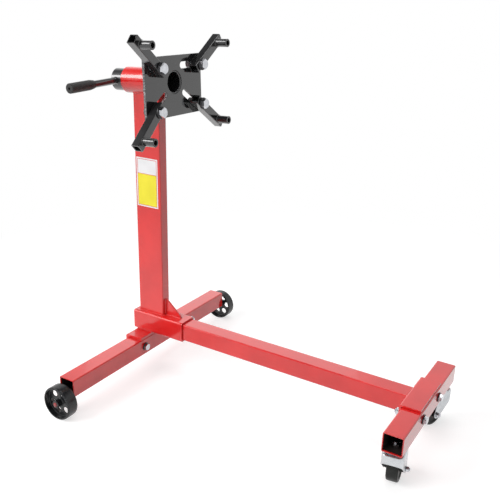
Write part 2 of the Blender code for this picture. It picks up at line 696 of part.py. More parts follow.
def hood_outline(half, back, corner):
    """Plan outline of the fork: round corners in front, straight sides to the back."""
    steps = ROUND_SIDES // 4
    inset = corner - half
    points = [(back, -half), (back, half)]
    for sign, start in ((1, math.pi / 2), (-1, math.pi)):
        for step in range(steps + 1):
            turn = start + math.pi / 2 * step / steps
            points.append((inset + corner * math.cos(turn), -sign * inset + corner * math.sin(turn)))
    return points


def build_caster(frame, side):
    """Stem with its race in the front tube, the swivelling fork and its wheel."""
    sign = SIDES[side]
    at = (caster_x, sign * caster_y, front_tube_centre - cross_half)
    mount = new_empty(f"caster_mount_{side}", frame, at)
    stem = CASTER_STEM / 2
    stickout = CASTER_STEM * THREAD_STICKOUT_RATIO
    stem_top = CROSS_TUBE_WALL + 2 * SEAT_GAP + nut_height(CASTER_STEM) + stickout
    rivet = RIVET_DIAMETER / 2
    rivet_top = -SEAT_GAP - crown_bottom
    rings = [circle(rivet, -rivet_bottom), circle(rivet, rivet_top), circle(stem, rivet_top)]
    rings += [circle(stem, -neck_bottom)]
    rings += [circle(RACE_NECK_DIAMETER / 2, -neck_bottom)]
    rings += [circle(RACE_NECK_DIAMETER / 2, -SEAT_GAP - RACE_THICKNESS)]
    rings += [circle(RACE_DIAMETER / 2, -SEAT_GAP - RACE_THICKNESS), circle(RACE_DIAMETER / 2, -SEAT_GAP)]
    rings += [circle(stem, -SEAT_GAP), circle(stem, stem_top)]
    skinned(f"caster_stem_{side}", rings, "Z", mount, "zinc")
    nut(f"caster_stem_nut_{side}", CASTER_STEM, "Z", 1, (0, 0, CROSS_TUBE_WALL + SEAT_GAP), mount)
    swivel = new_empty(f"caster_swivel_{side}", mount, (0, 0, 0), (0, 0, CASTER_TURN[side]))
    fork = build_fork(swivel, side, stem)
    axle = (CASTER_TRAIL, 0, -caster_axle_drop)
    hole = CASTER_BOLT / 2 + HOLE_CLEARANCE
    reach = 2 * fork_half_width()
    drill(fork, f"fork_axle_{side}", hole, -reach, reach, "Y", axle)
    outside = fork_half_width() + SEAT_GAP
    grip = 2 * fork_half_width()
    head_side = (axle[0], -sign * outside, axle[2])
    nut_side = (axle[0], sign * outside, axle[2])
    bolt(f"caster_axle_{side}", CASTER_BOLT, bolt_length(grip, CASTER_BOLT), "Y", -sign, head_side, swivel)
    nut(f"caster_axle_nut_{side}", CASTER_BOLT, "Y", sign, nut_side, swivel)
    build_caster_wheel(swivel, side, axle)


def build_fork(swivel, side, stem):
    """Pressed fork: the side outline cut to the plan outline and hollowed from below."""
    half = fork_half_width()
    far_back = CASTER_TRAIL + 2 * FORK_EYE
    deep = caster_axle_drop + 2 * FORK_EYE
    fork = extruded(f"caster_fork_{side}", fork_profile(), -half, half, "Y", swivel, "zinc")
    outside = hood_outline(half, far_back, FORK_CORNER)
    hood = extruded(f"cut_fork_hood_{side}", outside, -deep, 0, "Z", swivel, None)
    cut(fork, hood, "INTERSECT")
    inside = hood_outline(half - FORK_THICKNESS, far_back + FORK_EYE, FORK_CORNER - FORK_THICKNESS)
    hollow = extruded(f"cut_fork_inside_{side}", inside, -deep - FORK_EYE, -crown_bottom, "Z", swivel, None)
    cut(fork, hollow)
    drill(fork, f"fork_stem_{side}", stem + HOLE_CLEARANCE, -2 * crown_bottom, 0, "Z", (0, 0, 0))
    return fork


def build_caster_wheel(swivel, side, axle):
    """Solid caster wheel on its axle bolt."""
    carrier = new_empty(f"caster_wheel_turn_{side}", swivel, axle)
    bore = CASTER_BOLT / 2 + RUNNING_CLEARANCE
    hub = bore + CASTER_HUB_WALL
    rim = caster_wheel_radius - CASTER_RIM_THICKNESS
    half = CASTER_WHEEL_WIDTH / 2
    hub_half = half + CASTER_HUB_STANDOUT
    dish = half - CASTER_RIM_RECESS
    shoulder = caster_wheel_radius - CASTER_TREAD_ROUND
    half_profile = [(bore, hub_half), (hub, hub_half), (hub, dish), (rim, dish), (rim, half),
                    (shoulder, half), (caster_wheel_radius, half - CASTER_TREAD_ROUND)]
    profile = [(radius, -w) for radius, w in half_profile] + half_profile[::-1]
    turned_wheel(f"caster_wheel_{side}", profile, "Y", carrier, "black_rubber")


def centre_on_floor(root):
    """Move the whole stand so that the middle of its box is over the origin, on the floor."""
    bpy.context.view_layer.update()
    depsgraph = bpy.context.evaluated_depsgraph_get()
    corners = []
    for piece in bpy.context.scene.objects:
        if piece.type == "MESH" and not piece.hide_render:
            shape = piece.evaluated_get(depsgraph)
            corners += [piece.matrix_world @ vertex.co for vertex in shape.data.vertices]
    low = [min(corner[k] for corner in corners) for k in range(3)]
    high = [max(corner[k] for corner in corners) for k in range(3)]
    root.location = (-(low[0] + high[0]) / 2, -(low[1] + high[1]) / 2, -low[2])
    bpy.context.view_layer.update()


def main():
    for old in list(bpy.data.objects):
        bpy.data.objects.remove(old)
    root = new_empty("engine_stand")
    frame = new_empty("stand_frame", root, (0, 0, rear_wheel_radius), (0, frame_pitch(), 0))
    post_axis = (POST_CENTRE, 0, sleeve_top + HEAD_AXIS_RISE)
    reach = Vector((math.cos(HEAD_TILT), 0, math.sin(HEAD_TILT))) * PLATE_REACH
    head_mount = new_empty("head_mount", frame, Vector(post_axis) + reach, (0, -HEAD_TILT, 0))
    head = new_empty("head_turn", head_mount)
    build_rear_tube(frame)
    build_leg(frame)
    build_front_tube(frame)
    build_post(frame, head_mount)
    build_collar(head_mount)
    tube = build_plate(head)
    build_handle(head, tube)
    for row in ("upper", "lower"):
        for side in SIDES:
            build_arm(head, row, side)
    for side in SIDES:
        build_rear_wheel(frame, side)
        build_caster(frame, side)
    centre_on_floor(root)


main()
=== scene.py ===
import json
import math

import bmesh
import bpy
from mathutils import Matrix, Vector


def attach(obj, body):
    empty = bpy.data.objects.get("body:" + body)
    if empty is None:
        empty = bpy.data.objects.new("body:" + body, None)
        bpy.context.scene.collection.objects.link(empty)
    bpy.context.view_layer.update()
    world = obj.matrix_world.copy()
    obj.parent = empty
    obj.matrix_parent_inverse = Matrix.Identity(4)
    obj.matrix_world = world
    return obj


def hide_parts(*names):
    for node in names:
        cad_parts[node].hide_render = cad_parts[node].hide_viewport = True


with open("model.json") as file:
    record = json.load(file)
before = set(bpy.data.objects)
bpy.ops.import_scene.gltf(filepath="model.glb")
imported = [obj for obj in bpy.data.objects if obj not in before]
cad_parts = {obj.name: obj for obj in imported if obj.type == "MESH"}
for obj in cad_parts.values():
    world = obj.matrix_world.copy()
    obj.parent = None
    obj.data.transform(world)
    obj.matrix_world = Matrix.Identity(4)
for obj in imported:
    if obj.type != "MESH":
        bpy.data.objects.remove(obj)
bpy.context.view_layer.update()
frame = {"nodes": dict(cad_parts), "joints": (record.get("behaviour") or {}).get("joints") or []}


# Rear cross tube
# A length of 50 mm square steel tube, sawn square and left open at both ends. It lies across
# the back of the stand, carries the rear wheels, and is sprayed gloss red like the whole frame.
joint_of = {joint["name"]: joint for joint in frame["joints"]}
rear_axle = Vector(joint_of["rear_wheel_right_spin"]["pos_m"])
upright = Vector(joint_of["caster_swivel_right"]["axis"])
nose_down = Matrix.Rotation(math.atan2(upright.x, upright.z), 4, "Y")
stand_pose = Matrix.Translation((rear_axle.x, 0, rear_axle.z)) @ nose_down


def extent(node, pose):
    """Lowest and highest corner of a CAD node, measured square to the frame that carries it."""
    to_frame = pose.inverted()
    points = [to_frame @ corner.co for corner in frame["nodes"][node].data.vertices]
    low = Vector([min(point[axis] for point in points) for axis in range(3)])
    high = Vector([max(point[axis] for point in points) for axis in range(3)])
    return low, high


def pick(piece):
    """Make a piece the only one selected."""
    bpy.ops.object.select_all(action="DESELECT")
    piece.select_set(True)
    bpy.context.view_layer.objects.active = piece


def mark(piece, kind, chosen):
    """In edit mode, select the faces, edges or vertices of a piece that pass a test."""
    if piece.mode == "OBJECT":
        pick(piece)
        bpy.ops.object.mode_set(mode="EDIT")
    bpy.ops.mesh.select_mode(type=kind)
    bpy.ops.mesh.select_all(action="DESELECT")
    shape = bmesh.from_edit_mesh(piece.data)
    for element in {"FACE": shape.faces, "EDGE": shape.edges, "VERT": shape.verts}[kind]:
        if chosen(element):
            element.select_set(True)
    if kind == "VERT":
        shape.select_flush(True)
    bmesh.update_edit_mesh(piece.data)


def leave_edit():
    bpy.ops.object.mode_set(mode="OBJECT")


def modify(piece, kind, **settings):
    """Add a modifier with its settings and apply it."""
    pick(piece)
    modifier = piece.modifiers.new(kind.title(), kind)
    for setting, value in settings.items():
        setattr(modifier, setting, value)
    bpy.ops.object.modifier_apply(modifier=modifier.name)


def soften(piece, width, sharpest=50):
    """Break the sharp edges, as a file or a coat of paint does."""
    modify(piece, "BEVEL", width=width, segments=2, limit_method="ANGLE",
           angle_limit=math.radians(sharpest))


def block(name, low, high):
    """Box between two corners, the start of a piece."""
    bpy.ops.object.select_all(action="DESELECT")
    low, high = Vector(low), Vector(high)
    bpy.ops.mesh.primitive_cube_add(size=1, location=(low + high) / 2, scale=high - low)
    bpy.ops.object.transform_apply(location=True, rotation=True, scale=True)
    bpy.context.object.name = name
    return bpy.context.object


def runs_along(axis):
    """Test for edges that run along an axis."""
    return lambda edge: abs((edge.verts[1].co - edge.verts[0].co).normalized()[axis]) > 0.9


def box_section(name, low, high, along, wall, corner, mouth=0):
    """Rectangular tube: a box whose long edges are rounded, opened at its ends and given a wall.
    The mouth is how far in from each end the walls are divided, for the spray that reaches in; past it the
    inner walls are given painted shade."""
    tube = block(name, low, high)
    mark(tube, "EDGE", runs_along(along))
    bpy.ops.mesh.bevel(offset=corner, segments=5, affect="EDGES")
    for from_end in (low[along] + mouth, high[along] - mouth) if mouth else ():
        mark(tube, "FACE", lambda face: True)
        level = Vector((0, 0, 0))
        level[along] = 1
        bpy.ops.mesh.bisect(plane_co=level * from_end, plane_no=level)
    mark(tube, "FACE", lambda face: abs(face.normal[along]) > 0.9)
    bpy.ops.mesh.delete(type="ONLY_FACE")
    leave_edit()
    modify(tube, "SOLIDIFY", thickness=wall, offset=-1, use_even_offset=True)
    soften(tube, 0.0006)
    return tube


def surface(name, shades, patch, roughness, grain, relief, metallic=0.0, coat=0.0, specular=0.5,
            drawn_out=(1, 1, 1)):
    """Finish whose colour and gloss drift over patches, with the relief of a finer grain.
    The grain can be drawn out along one axis, by a smaller number there."""
    finish = bpy.data.materials.new(name)
    finish.use_nodes = True
    nodes = finish.node_tree.nodes
    link = finish.node_tree.links.new
    shader = nodes["Principled BSDF"]
    shader.inputs["Metallic"].default_value = metallic
    shader.inputs["Coat Weight"].default_value = coat
    shader.inputs["Coat Roughness"].default_value = 0.04
    shader.inputs["Specular IOR Level"].default_value = specular
    place = nodes.new("ShaderNodeTexCoord")
    drift = nodes.new("ShaderNodeTexNoise")
    drift.inputs["Scale"].default_value = patch
    drift.inputs["Detail"].default_value = 4
    link(place.outputs["Object"], drift.inputs["Vector"])
    ramp = nodes.new("ShaderNodeValToRGB")
    for stop, position, shade in zip(ramp.color_ramp.elements, (0.35, 0.65), shades):
        stop.position = position
        stop.color = (*shade, 1)
    link(drift.outputs["Fac"], ramp.inputs["Fac"])
    link(ramp.outputs["Color"], shader.inputs["Base Color"])
    gloss = nodes.new("ShaderNodeMapRange")
    gloss.inputs["From Min"].default_value = 0.3
    gloss.inputs["From Max"].default_value = 0.7
    gloss.inputs["To Min"].default_value = roughness[0]
    gloss.inputs["To Max"].default_value = roughness[1]
    link(drift.outputs["Fac"], gloss.inputs["Value"])
    link(gloss.outputs["Result"], shader.inputs["Roughness"])
    skin = nodes.new("ShaderNodeTexNoise")
    skin.inputs["Scale"].default_value = grain
    skin.inputs["Detail"].default_value = 3
    draw = nodes.new("ShaderNodeMapping")
    draw.inputs["Scale"].default_value = drawn_out
    link(place.outputs["Object"], draw.inputs["Vector"])
    link(draw.outputs["Vector"], skin.inputs["Vector"])
    bump = nodes.new("ShaderNodeBump")
    bump.inputs["Strength"].default_value = relief
    bump.inputs["Distance"].default_value = 0.0004
    link(skin.outputs["Fac"], bump.inputs["Height"])
    link(bump.outputs["Normal"], shader.inputs["Normal"])
    return finish


def show(piece, pose, finish, body, slot, *nodes):
    """Set a finished piece in its place, give it its finish, and let it ride for its CAD nodes."""
    pick(piece)
    piece.matrix_world = pose @ piece.matrix_world
    bpy.ops.object.transform_apply(location=True, rotation=True, scale=True)
    bpy.ops.object.shade_smooth_by_angle(angle=math.radians(38))
    modify(piece, "WEIGHTED_NORMAL", keep_sharp=True)
    piece.data.materials.clear()
    piece.data.materials.append(finish)
    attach(piece, body)
    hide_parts(*nodes)


def paint_shade_inside(piece, pose, along, low, high, wall, mouth):
    """Paint the inner walls of a tube, past the mouths that the spray reaches, near black: painted shade
    for the hollow.
    """
    piece.data.materials.append(inside_painted_shade)
    for face in piece.data.polygons:
        centre = pose.inverted() @ face.center
        depth = [min(centre[axis] - low[axis], high[axis] - centre[axis]) for axis in range(3)]
        on_inner_wall = min(depth[axis] for axis in range(3) if axis != along) > wall * 0.8
        if on_inner_wall and depth[along] > mouth:
            face.material_index = 1


red_enamel = surface("red_enamel", [(0.66, 0.010, 0.010), (0.76, 0.016, 0.015)], patch=11,
                     roughness=(0.12, 0.20), grain=520, relief=0.05, coat=0.65)
# Near-black finish for the inner walls: painted shade for the hollows of the tubes.
inside_painted_shade = surface("inside_painted_shade", [(0.010, 0.008, 0.008), (0.030, 0.022, 0.020)], patch=30,
                      roughness=(0.45, 0.65), grain=400, relief=0.3, specular=0.2)
rear_low, rear_high = extent("rear_cross_tube", stand_pose)
cross_wall = 0.0025
cross_mouth = 0.004
rear_tube = box_section("rear_tube", rear_low, rear_high, along=1, wall=cross_wall, corner=0.0035,
                        mouth=cross_mouth)
show(rear_tube, stand_pose, red_enamel, "stand", "red_paint", "rear_cross_tube")
# The inner walls of the rear tube are given painted shade.
paint_shade_inside(rear_tube, stand_pose, 1, rear_low, rear_high, cross_wall, cross_mouth)


# Angle brackets
# Two pieces of steel angle, the rear one 8 mm thick and the front one 6 mm. Each hangs over a
# cross tube, with two bolts through its upright flange, and is welded to the leg or its sleeve.
def angle_bracket(name, low, high, thickness):
    """Angle with its upright flange on the low side, folded down from a flat top."""
    angle = block(name, (low.x, low.y, high.z - thickness), high)
    mark(angle, "FACE", lambda face: True)
    bpy.ops.mesh.bisect(plane_co=(low.x + thickness, 0, 0), plane_no=(1, 0, 0))
    mark(angle, "FACE", lambda face: face.normal.z < -0.9
         and face.calc_center_median().x < low.x + thickness)
    down = (0, 0, low.z + thickness - high.z)
    bpy.ops.mesh.extrude_region_move(TRANSFORM_OT_translate={"value": down})
    mark(angle, "EDGE", lambda edge: runs_along(1)(edge) and edge.verts[0].co.x < low.x + thickness / 2
         and edge.verts[0].co.z > high.z - thickness / 2)
    bpy.ops.mesh.bevel(offset=thickness * 0.8, segments=6, affect="EDGES")
    leave_edit()
    soften(angle, 0.0010, sharpest=40)
    return angle


for node, thickness in (("rear_bracket", 0.008), ("front_bracket", 0.006)):
    bracket = angle_bracket(node + "_angle", *extent(node, stand_pose), thickness)
    show(bracket, stand_pose, red_enamel, "stand", "red_paint", node)


# Leg and sleeve
# The leg is a long 50 mm square tube that slides into a 60 mm sleeve of thicker wall, so that the
# stand comes apart for storage. The sleeve is welded on the rear bracket and carries the post.
sleeve_low, sleeve_high = extent("base_sleeve", stand_pose)
sleeve = box_section("sleeve_tube", sleeve_low, sleeve_high, along=0, wall=0.0045, corner=0.006)
show(sleeve, stand_pose, red_enamel, "stand", "red_paint", "base_sleeve")
leg = box_section("leg_tube", *extent("main_leg", stand_pose), along=0, wall=0.003, corner=0.004)
show(leg, stand_pose, red_enamel, "stand", "red_paint", "main_leg")


# Front cross tube
# A shorter length of the same square tube, open at both ends, bolted under the front bracket. Two
# holes are drilled through its bottom wall for the stems of the casters.
def rod(name, radius, centre, axis, length, sides=48):
    """Round bar along X, Y or Z, the start of a cutter or of a round piece."""
    turn = {"X": (0, math.pi / 2, 0), "Y": (math.pi / 2, 0, 0), "Z": (0, 0, 0)}[axis]
    bpy.ops.object.select_all(action="DESELECT")
    bpy.ops.mesh.primitive_cylinder_add(vertices=sides, radius=radius, depth=length, location=centre,
                                        rotation=turn)
    bpy.ops.object.transform_apply(location=True, rotation=True, scale=True)
    bpy.context.object.name = name
    return bpy.context.object


def discard(piece):
    bpy.data.objects.remove(piece, do_unlink=True)


def cut_away(piece, cutter, operation="DIFFERENCE"):
    """Cut one shape out of a piece, or keep only what lies inside it."""
    modify(piece, "BOOLEAN", operation=operation, solver="EXACT", object=cutter)
    discard(cutter)


front_low, front_high = extent("front_cross_tube", stand_pose)
front_tube = box_section("front_tube", front_low, front_high, along=1, wall=cross_wall, corner=0.0035,
                         mouth=cross_mouth)
stem_hole_radius = 0.0066
for side in ("right", "left"):
    swivel_point = stand_pose.inverted() @ Vector(joint_of["caster_swivel_" + side]["pos_m"])
    cut_away(front_tube, rod("stem_hole", stem_hole_radius, swivel_point, "Z", 0.020))
show(front_tube, stand_pose, red_enamel, "stand", "red_paint", "front_cross_tube")
# The inner walls of the front tube are given painted shade.
paint_shade_inside(front_tube, stand_pose, 1, front_low, front_high, cross_wall, cross_mouth)


# Post
# Rectangular tube, 88 by 31 mm, welded upright on the sleeve. Its top is coped to a saddle in which
# the collar lies, and a plain blank sticker is stuck to the side that faces the camera.
head_axis = Vector(joint_of["head_rotation"]["axis"])
head_point = Vector(joint_of["head_rotation"]["pos_m"])
head_pose = Matrix.Translation(head_point) @ Matrix.Rotation(-math.atan2(head_axis.z, head_axis.x), 4, "Y")
collar_low, collar_high = extent("head_collar", head_pose)
collar_radius = collar_high.z
post_low, post_high = extent("post", stand_pose)
post = box_section("post_tube", post_low, post_high, along=2, wall=0.003, corner=0.003)
saddle = rod("saddle", collar_radius + 0.0003, (0, 0, 0), "X", 0.6, sides=96)
saddle.matrix_world = stand_pose.inverted() @ head_pose
cut_away(post, saddle)
show(post, stand_pose, red_enamel, "stand", "red_paint", "post")

sticker_low = Vector((-0.0234, 0, 0.451))
sticker_high = Vector((0.0510, 0, 0.591))
sticker_proud = 0.0002
sticker_margin = 0.0035
sticker_rule = 0.0014
sticker_split = 0.546
bpy.ops.object.select_all(action="DESELECT")
sticker_middle = (sticker_low + sticker_high) / 2
sticker_middle.y = post_low.y - sticker_proud
bpy.ops.mesh.primitive_plane_add(size=1, location=sticker_middle, rotation=(math.pi / 2, 0, 0))
sticker = bpy.context.object
sticker.name = "blank_sticker"
sticker_width = sticker_high.x - sticker_low.x
sticker_height = sticker_high.z - sticker_low.z
sticker.scale = (sticker_width, sticker_height, 1)
bpy.ops.object.transform_apply(location=True, rotation=True, scale=True)
mark(sticker, "FACE", lambda face: True)
bpy.ops.mesh.inset(thickness=sticker_margin)
bpy.ops.mesh.inset(thickness=sticker_rule)
bpy.ops.mesh.bisect(plane_co=(0, 0, sticker_split), plane_no=(0, 0, 1))
mark(sticker, "FACE", lambda face: face.calc_area() > 0.001)
bpy.ops.mesh.bisect(plane_co=(0, 0, sticker_split - sticker_rule), plane_no=(0, 0, 1))
mark(sticker, "VERT", lambda corner: abs(corner.co.x - sticker_middle.x) > sticker_width / 2 - 1e-4
     and abs(corner.co.z - sticker_middle.z) > sticker_height / 2 - 1e-4)
bpy.ops.mesh.bevel(offset=0.002, segments=4, affect="VERTICES")
leave_edit()
white_vinyl = surface("white_vinyl", [(0.80, 0.80, 0.81), (0.86, 0.86, 0.87)], patch=25,
                      roughness=(0.30, 0.40), grain=700, relief=0.02, coat=0.2)
yellow_vinyl = surface("yellow_vinyl", [(0.84, 0.74, 0.030), (0.90, 0.80, 0.040)], patch=25,
                       roughness=(0.30, 0.40), grain=700, relief=0.02, coat=0.2)
red_vinyl = surface("red_vinyl", [(0.62, 0.015, 0.015), (0.70, 0.02, 0.02)], patch=25,
                    roughness=(0.30, 0.40), grain=700, relief=0.02, coat=0.2)
show(sticker, stand_pose, white_vinyl, "stand", "red_paint")
sticker.data.materials.append(yellow_vinyl)
sticker.data.materials.append(red_vinyl)
for face in sticker.data.polygons:
    centre = stand_pose.inverted() @ face.center
    from_side = min(centre.x - sticker_low.x, sticker_high.x - centre.x,
                    centre.z - sticker_low.z, sticker_high.z - centre.z)
    on_frame = sticker_margin < from_side < sticker_margin + sticker_rule
    on_split = abs(centre.z - sticker_split + sticker_rule / 2) < sticker_rule / 2
    if on_frame or (on_split and from_side > sticker_margin):
        face.material_index = 2
    elif from_side > sticker_margin and centre.z < sticker_split:
        face.material_index = 1


# Gusset
# A plate of 6 mm steel sheared to a triangle with blunt corners. It stands in the corner between
# the front of the post and the sleeve, welded along both of its straight edges.
gusset_low, gusset_high = extent("post_gusset", stand_pose)
gusset_nose = 0.006
gusset = block("gusset_plate", gusset_low, gusset_high)
slope = Vector((gusset_high.z - gusset_low.z - gusset_nose, 0, gusset_high.x - gusset_low.x - gusset_nose))
mark(gusset, "FACE", lambda face: True)
bpy.ops.mesh.bisect(plane_co=(gusset_high.x, 0, gusset_low.z + gusset_nose), plane_no=slope,
                    use_fill=True, clear_outer=True)
leave_edit()
soften(gusset, 0.0008, sharpest=30)
show(gusset, stand_pose, red_enamel, "stand", "red_paint", "post_gusset")


# Collar
# A short length of thick round tube welded into the saddle of the post, with its ends faced off.
# The head turns in it. It leans back by about a degree, which is an estimate.
def pipe(name, low_x, high_x, radius, wall, sides=96):
    """Round tube along X, made from an open cylinder that is given a wall."""
    bpy.ops.object.select_all(action="DESELECT")
    bpy.ops.mesh.primitive_cylinder_add(vertices=sides, radius=radius, depth=high_x - low_x,
                                        end_fill_type="NOTHING", location=((low_x + high_x) / 2, 0, 0),
                                        rotation=(0, math.pi / 2, 0))
    tube = bpy.context.object
    tube.name = name
    bpy.ops.object.transform_apply(location=True, rotation=True, scale=True)
    modify(tube, "SOLIDIFY", thickness=wall, offset=-1, use_even_offset=True)
    soften(tube, 0.0008)
    return tube


collar = pipe("collar_tube", collar_low.x, collar_high.x, collar_radius, 0.0045)
show(collar, head_pose, red_enamel, "stand", "red_paint", "head_collar")


# Turning tube and slotted plate
# A 60 mm tube that turns in the collar, welded into a hole in an 8 mm plate. The plate is flame cut
# with two level and two slanted slots for the arms, and both are sprayed gloss black.
bar_axis = head_pose.inverted().to_3x3() @ Vector(joint_of["handle_slide"]["axis"])
bar_back, bar_front = extent("handle_bar", head_pose)
bar_point = Vector(((bar_back.x + bar_front.x) / 2, 0, 0))
bar_roll = Matrix.Rotation(math.atan2(bar_axis.z, bar_axis.y), 4, "X")
bar_in_head = Matrix.Translation(bar_point) @ bar_roll
black_enamel = surface("black_enamel", [(0.012, 0.012, 0.013), (0.022, 0.022, 0.023)], patch=14,
                       roughness=(0.08, 0.15), grain=520, relief=0.04, coat=0.8)
tube_low, tube_high = extent("rotating_tube", head_pose)
tube_radius = tube_high.z
turning_tube = pipe("turning_tube", tube_low.x, tube_high.x, tube_radius, 0.004)
bar_hole = rod("bar_hole", 0.0100, (0, 0, 0), "Y", 0.2)
bar_hole.matrix_world = bar_in_head
cut_away(turning_tube, bar_hole)
show(turning_tube, head_pose, black_enamel, "head", "black_paint", "rotating_tube")

slot_radius = 0.00875
slot_outer = 0.0955
upper_slot_inner = 0.0345
upper_slot_height = 0.041
lower_slot_inner = Vector((0, 0.041, -0.030))
lower_slot_outer = Vector((0, slot_outer, -0.067))
plate_low, plate_high = extent("head_plate", head_pose)
plate = block("slotted_plate", plate_low, plate_high)
mark(plate, "EDGE", runs_along(0))
bpy.ops.mesh.bevel(offset=0.003, segments=4, affect="EDGES")
leave_edit()
cut_away(plate, rod("tube_hole", tube_radius + 0.0003, (0, 0, 0), "X", 0.05, sides=96))
for sign in (1, -1):
    mirrored = Vector((1, sign, 1))
    level = (Vector((0, upper_slot_inner, upper_slot_height)), Vector((0, slot_outer, upper_slot_height)))
    for inner, outer in (level, (lower_slot_inner, lower_slot_outer)):
        reach = (outer - inner) * mirrored
        slot = rod("slot", slot_radius, inner * mirrored, "X", 0.05)
        mark(slot, "VERT", lambda corner: (corner.co - inner * mirrored).dot(reach) > 1e-7)
        bpy.ops.transform.translate(value=reach)
        leave_edit()
        cut_away(plate, slot)
soften(plate, 0.0007, sharpest=60)
show(plate, head_pose, black_enamel, "head", "black_paint", "head_plate")
# The cut edge is coloured in speckles of near black and pale grey: painted glints that stand in for
# highlights on the ridges of the cut, over a real bumpy relief.
cut_edge_painted_glints = surface("plate_edge_painted_glints", [(0.004, 0.004, 0.005), (0.30, 0.30, 0.31)], patch=170,
                    roughness=(0.10, 0.20), grain=240, relief=1.0, coat=0.3, drawn_out=(0.25, 1, 1))
cut_edge_painted_glints.node_tree.nodes["Bump"].inputs["Distance"].default_value = 0.006
plate.data.materials.append(cut_edge_painted_glints)
# The side faces of the plate, its cut edges, take the painted glints.
for face in plate.data.polygons:
    if abs(face.normal.dot(head_axis)) < 0.2:
        face.material_index = 1


# Turning bar and grip
# A 19 mm round bar pushed through two holes behind the collar, to turn the head by hand. A moulded
# rubber grip with a small vent in its end is pulled over the bar on the right.
def turned(name, rings, sides=64, bored=False):
    """Piece turned about Z through (radius, height) rings, from a circle drawn out ring by ring.
    Its ends are closed, or joined to each other round a bore."""
    bpy.ops.object.select_all(action="DESELECT")
    radius, height = rings[0]
    bpy.ops.mesh.primitive_circle_add(vertices=sides, radius=radius, location=(0, 0, height))
    piece = bpy.context.object
    piece.name = name
    bpy.ops.object.transform_apply(location=True, rotation=True, scale=True)
    mark(piece, "VERT", lambda corner: True)
    for next_radius, next_height in (rings[1:] + rings[:1] if bored else rings[1:]):
        rise = (0, 0, next_height - height)
        bpy.ops.mesh.extrude_region_move(TRANSFORM_OT_translate={"value": rise})
        spread = next_radius / radius
        bpy.ops.transform.resize(value=(spread, spread, 1), center_override=(0, 0, next_height))
        radius, height = next_radius, next_height
    bpy.ops.mesh.select_all(action="SELECT")
    if bored:
        bpy.ops.mesh.remove_doubles(threshold=1e-6)
    else:
        bpy.ops.mesh.fill_holes(sides=0)
    bpy.ops.mesh.select_all(action="SELECT")
    bpy.ops.mesh.normals_make_consistent(inside=False)
    leave_edit()
    return piece


along_y = Matrix.Rotation(-math.pi / 2, 4, "X")
bar_pose = head_pose @ bar_in_head @ along_y
bar_low, bar_high = extent("handle_bar", bar_pose)
bar_radius = bar_high.x
bar_edge = 0.0012
bar = turned("turning_bar", [(bar_radius - bar_edge, bar_low.z), (bar_radius, bar_low.z + bar_edge),
                             (bar_radius, bar_high.z - bar_edge), (bar_radius - bar_edge, bar_high.z)])
soften(bar, 0.0004, sharpest=30)
show(bar, bar_pose, black_enamel, "handle", "black_paint", "handle_bar")

grip_low, grip_high = extent("handle_grip", bar_pose)
grip_radius = grip_high.x
grip_vent = 0.003
grip_taper = 0.010
grip_lip = bar_radius + 0.0012
black_rubber = surface("black_rubber", [(0.016, 0.016, 0.016), (0.030, 0.029, 0.028)], patch=40,
                       roughness=(0.50, 0.66), grain=1400, relief=0.25)
grip = turned("bar_grip", [
    (grip_vent, grip_low.z + 0.003), (grip_vent, grip_low.z), (grip_radius - 0.0024, grip_low.z),
    (grip_radius - 0.0007, grip_low.z + 0.0007), (grip_radius, grip_low.z + 0.0024),
    (grip_radius, grip_high.z - grip_taper - 0.004), (grip_radius - 0.0006, grip_high.z - grip_taper),
    (grip_lip, grip_high.z), (bar_radius + 0.0002, grip_high.z), (bar_radius + 0.0002, grip_low.z + 0.003)],
    bored=True)
soften(grip, 0.0005, sharpest=40)
show(grip, bar_pose, black_rubber, "handle", "grip_rubber", "handle_grip")


# Arms and spacers
# Four arms of 24 mm square tube swing on the plate, each drilled near its end for an engine bolt and
# with a round spacer welded over that hole. They are sprayed black with the head.
corner_names = ("upper_right", "upper_left", "lower_right", "lower_left")
arm_face = 0.0003
arm_size = 0.024
arm_reach = 0.1145
arm_tail = 0.022
spacer_reach = 0.092
spacer_bore = 0.0065
arm_tube = box_section("arm_tube", (arm_face, -arm_tail, -arm_size / 2),
                       (arm_face + arm_size, arm_reach, arm_size / 2), along=1, wall=0.0025, corner=0.002)
cut_away(arm_tube, rod("engine_bolt_hole", spacer_bore, (0, spacer_reach, 0), "X", 0.2))
spacer_low, spacer_high = extent("arm_spacer_upper_right", head_pose)
spacer_radius = 0.011
spacer_wall = spacer_radius - spacer_bore
spacer_tube = pipe("spacer_tube", spacer_low.x, spacer_high.x, spacer_radius, spacer_wall, 48)
arm_pose = {}
for corner_name in corner_names:
    pivot = head_pose.inverted() @ Vector(joint_of["arm_swing_" + corner_name]["pos_m"])
    low, high = extent("arm_spacer_" + corner_name, head_pose)
    reach = (low + high) / 2 - pivot
    at_pivot = Matrix.Translation((0, pivot.y, pivot.z))
    arm_pose[corner_name] = head_pose @ at_pivot @ Matrix.Rotation(math.atan2(reach.z, reach.y), 4, "X")


def another(piece, name):
    """Copy of a piece, with a mesh of its own."""
    pick(piece)
    bpy.ops.object.duplicate()
    bpy.context.object.name = name
    return bpy.context.object


for corner_name, pose in arm_pose.items():
    body = "swing_" + corner_name
    arm = another(arm_tube, "arm_tube_" + corner_name)
    show(arm, pose, black_enamel, body, "black_paint", "arm_" + corner_name)
    spacer = another(spacer_tube, "spacer_tube_" + corner_name)
    spacer_pose = pose @ Matrix.Translation((0, spacer_reach, 0))
    show(spacer, spacer_pose, black_enamel, body, "black_paint", "arm_spacer_" + corner_name)
discard(arm_tube)
discard(spacer_tube)


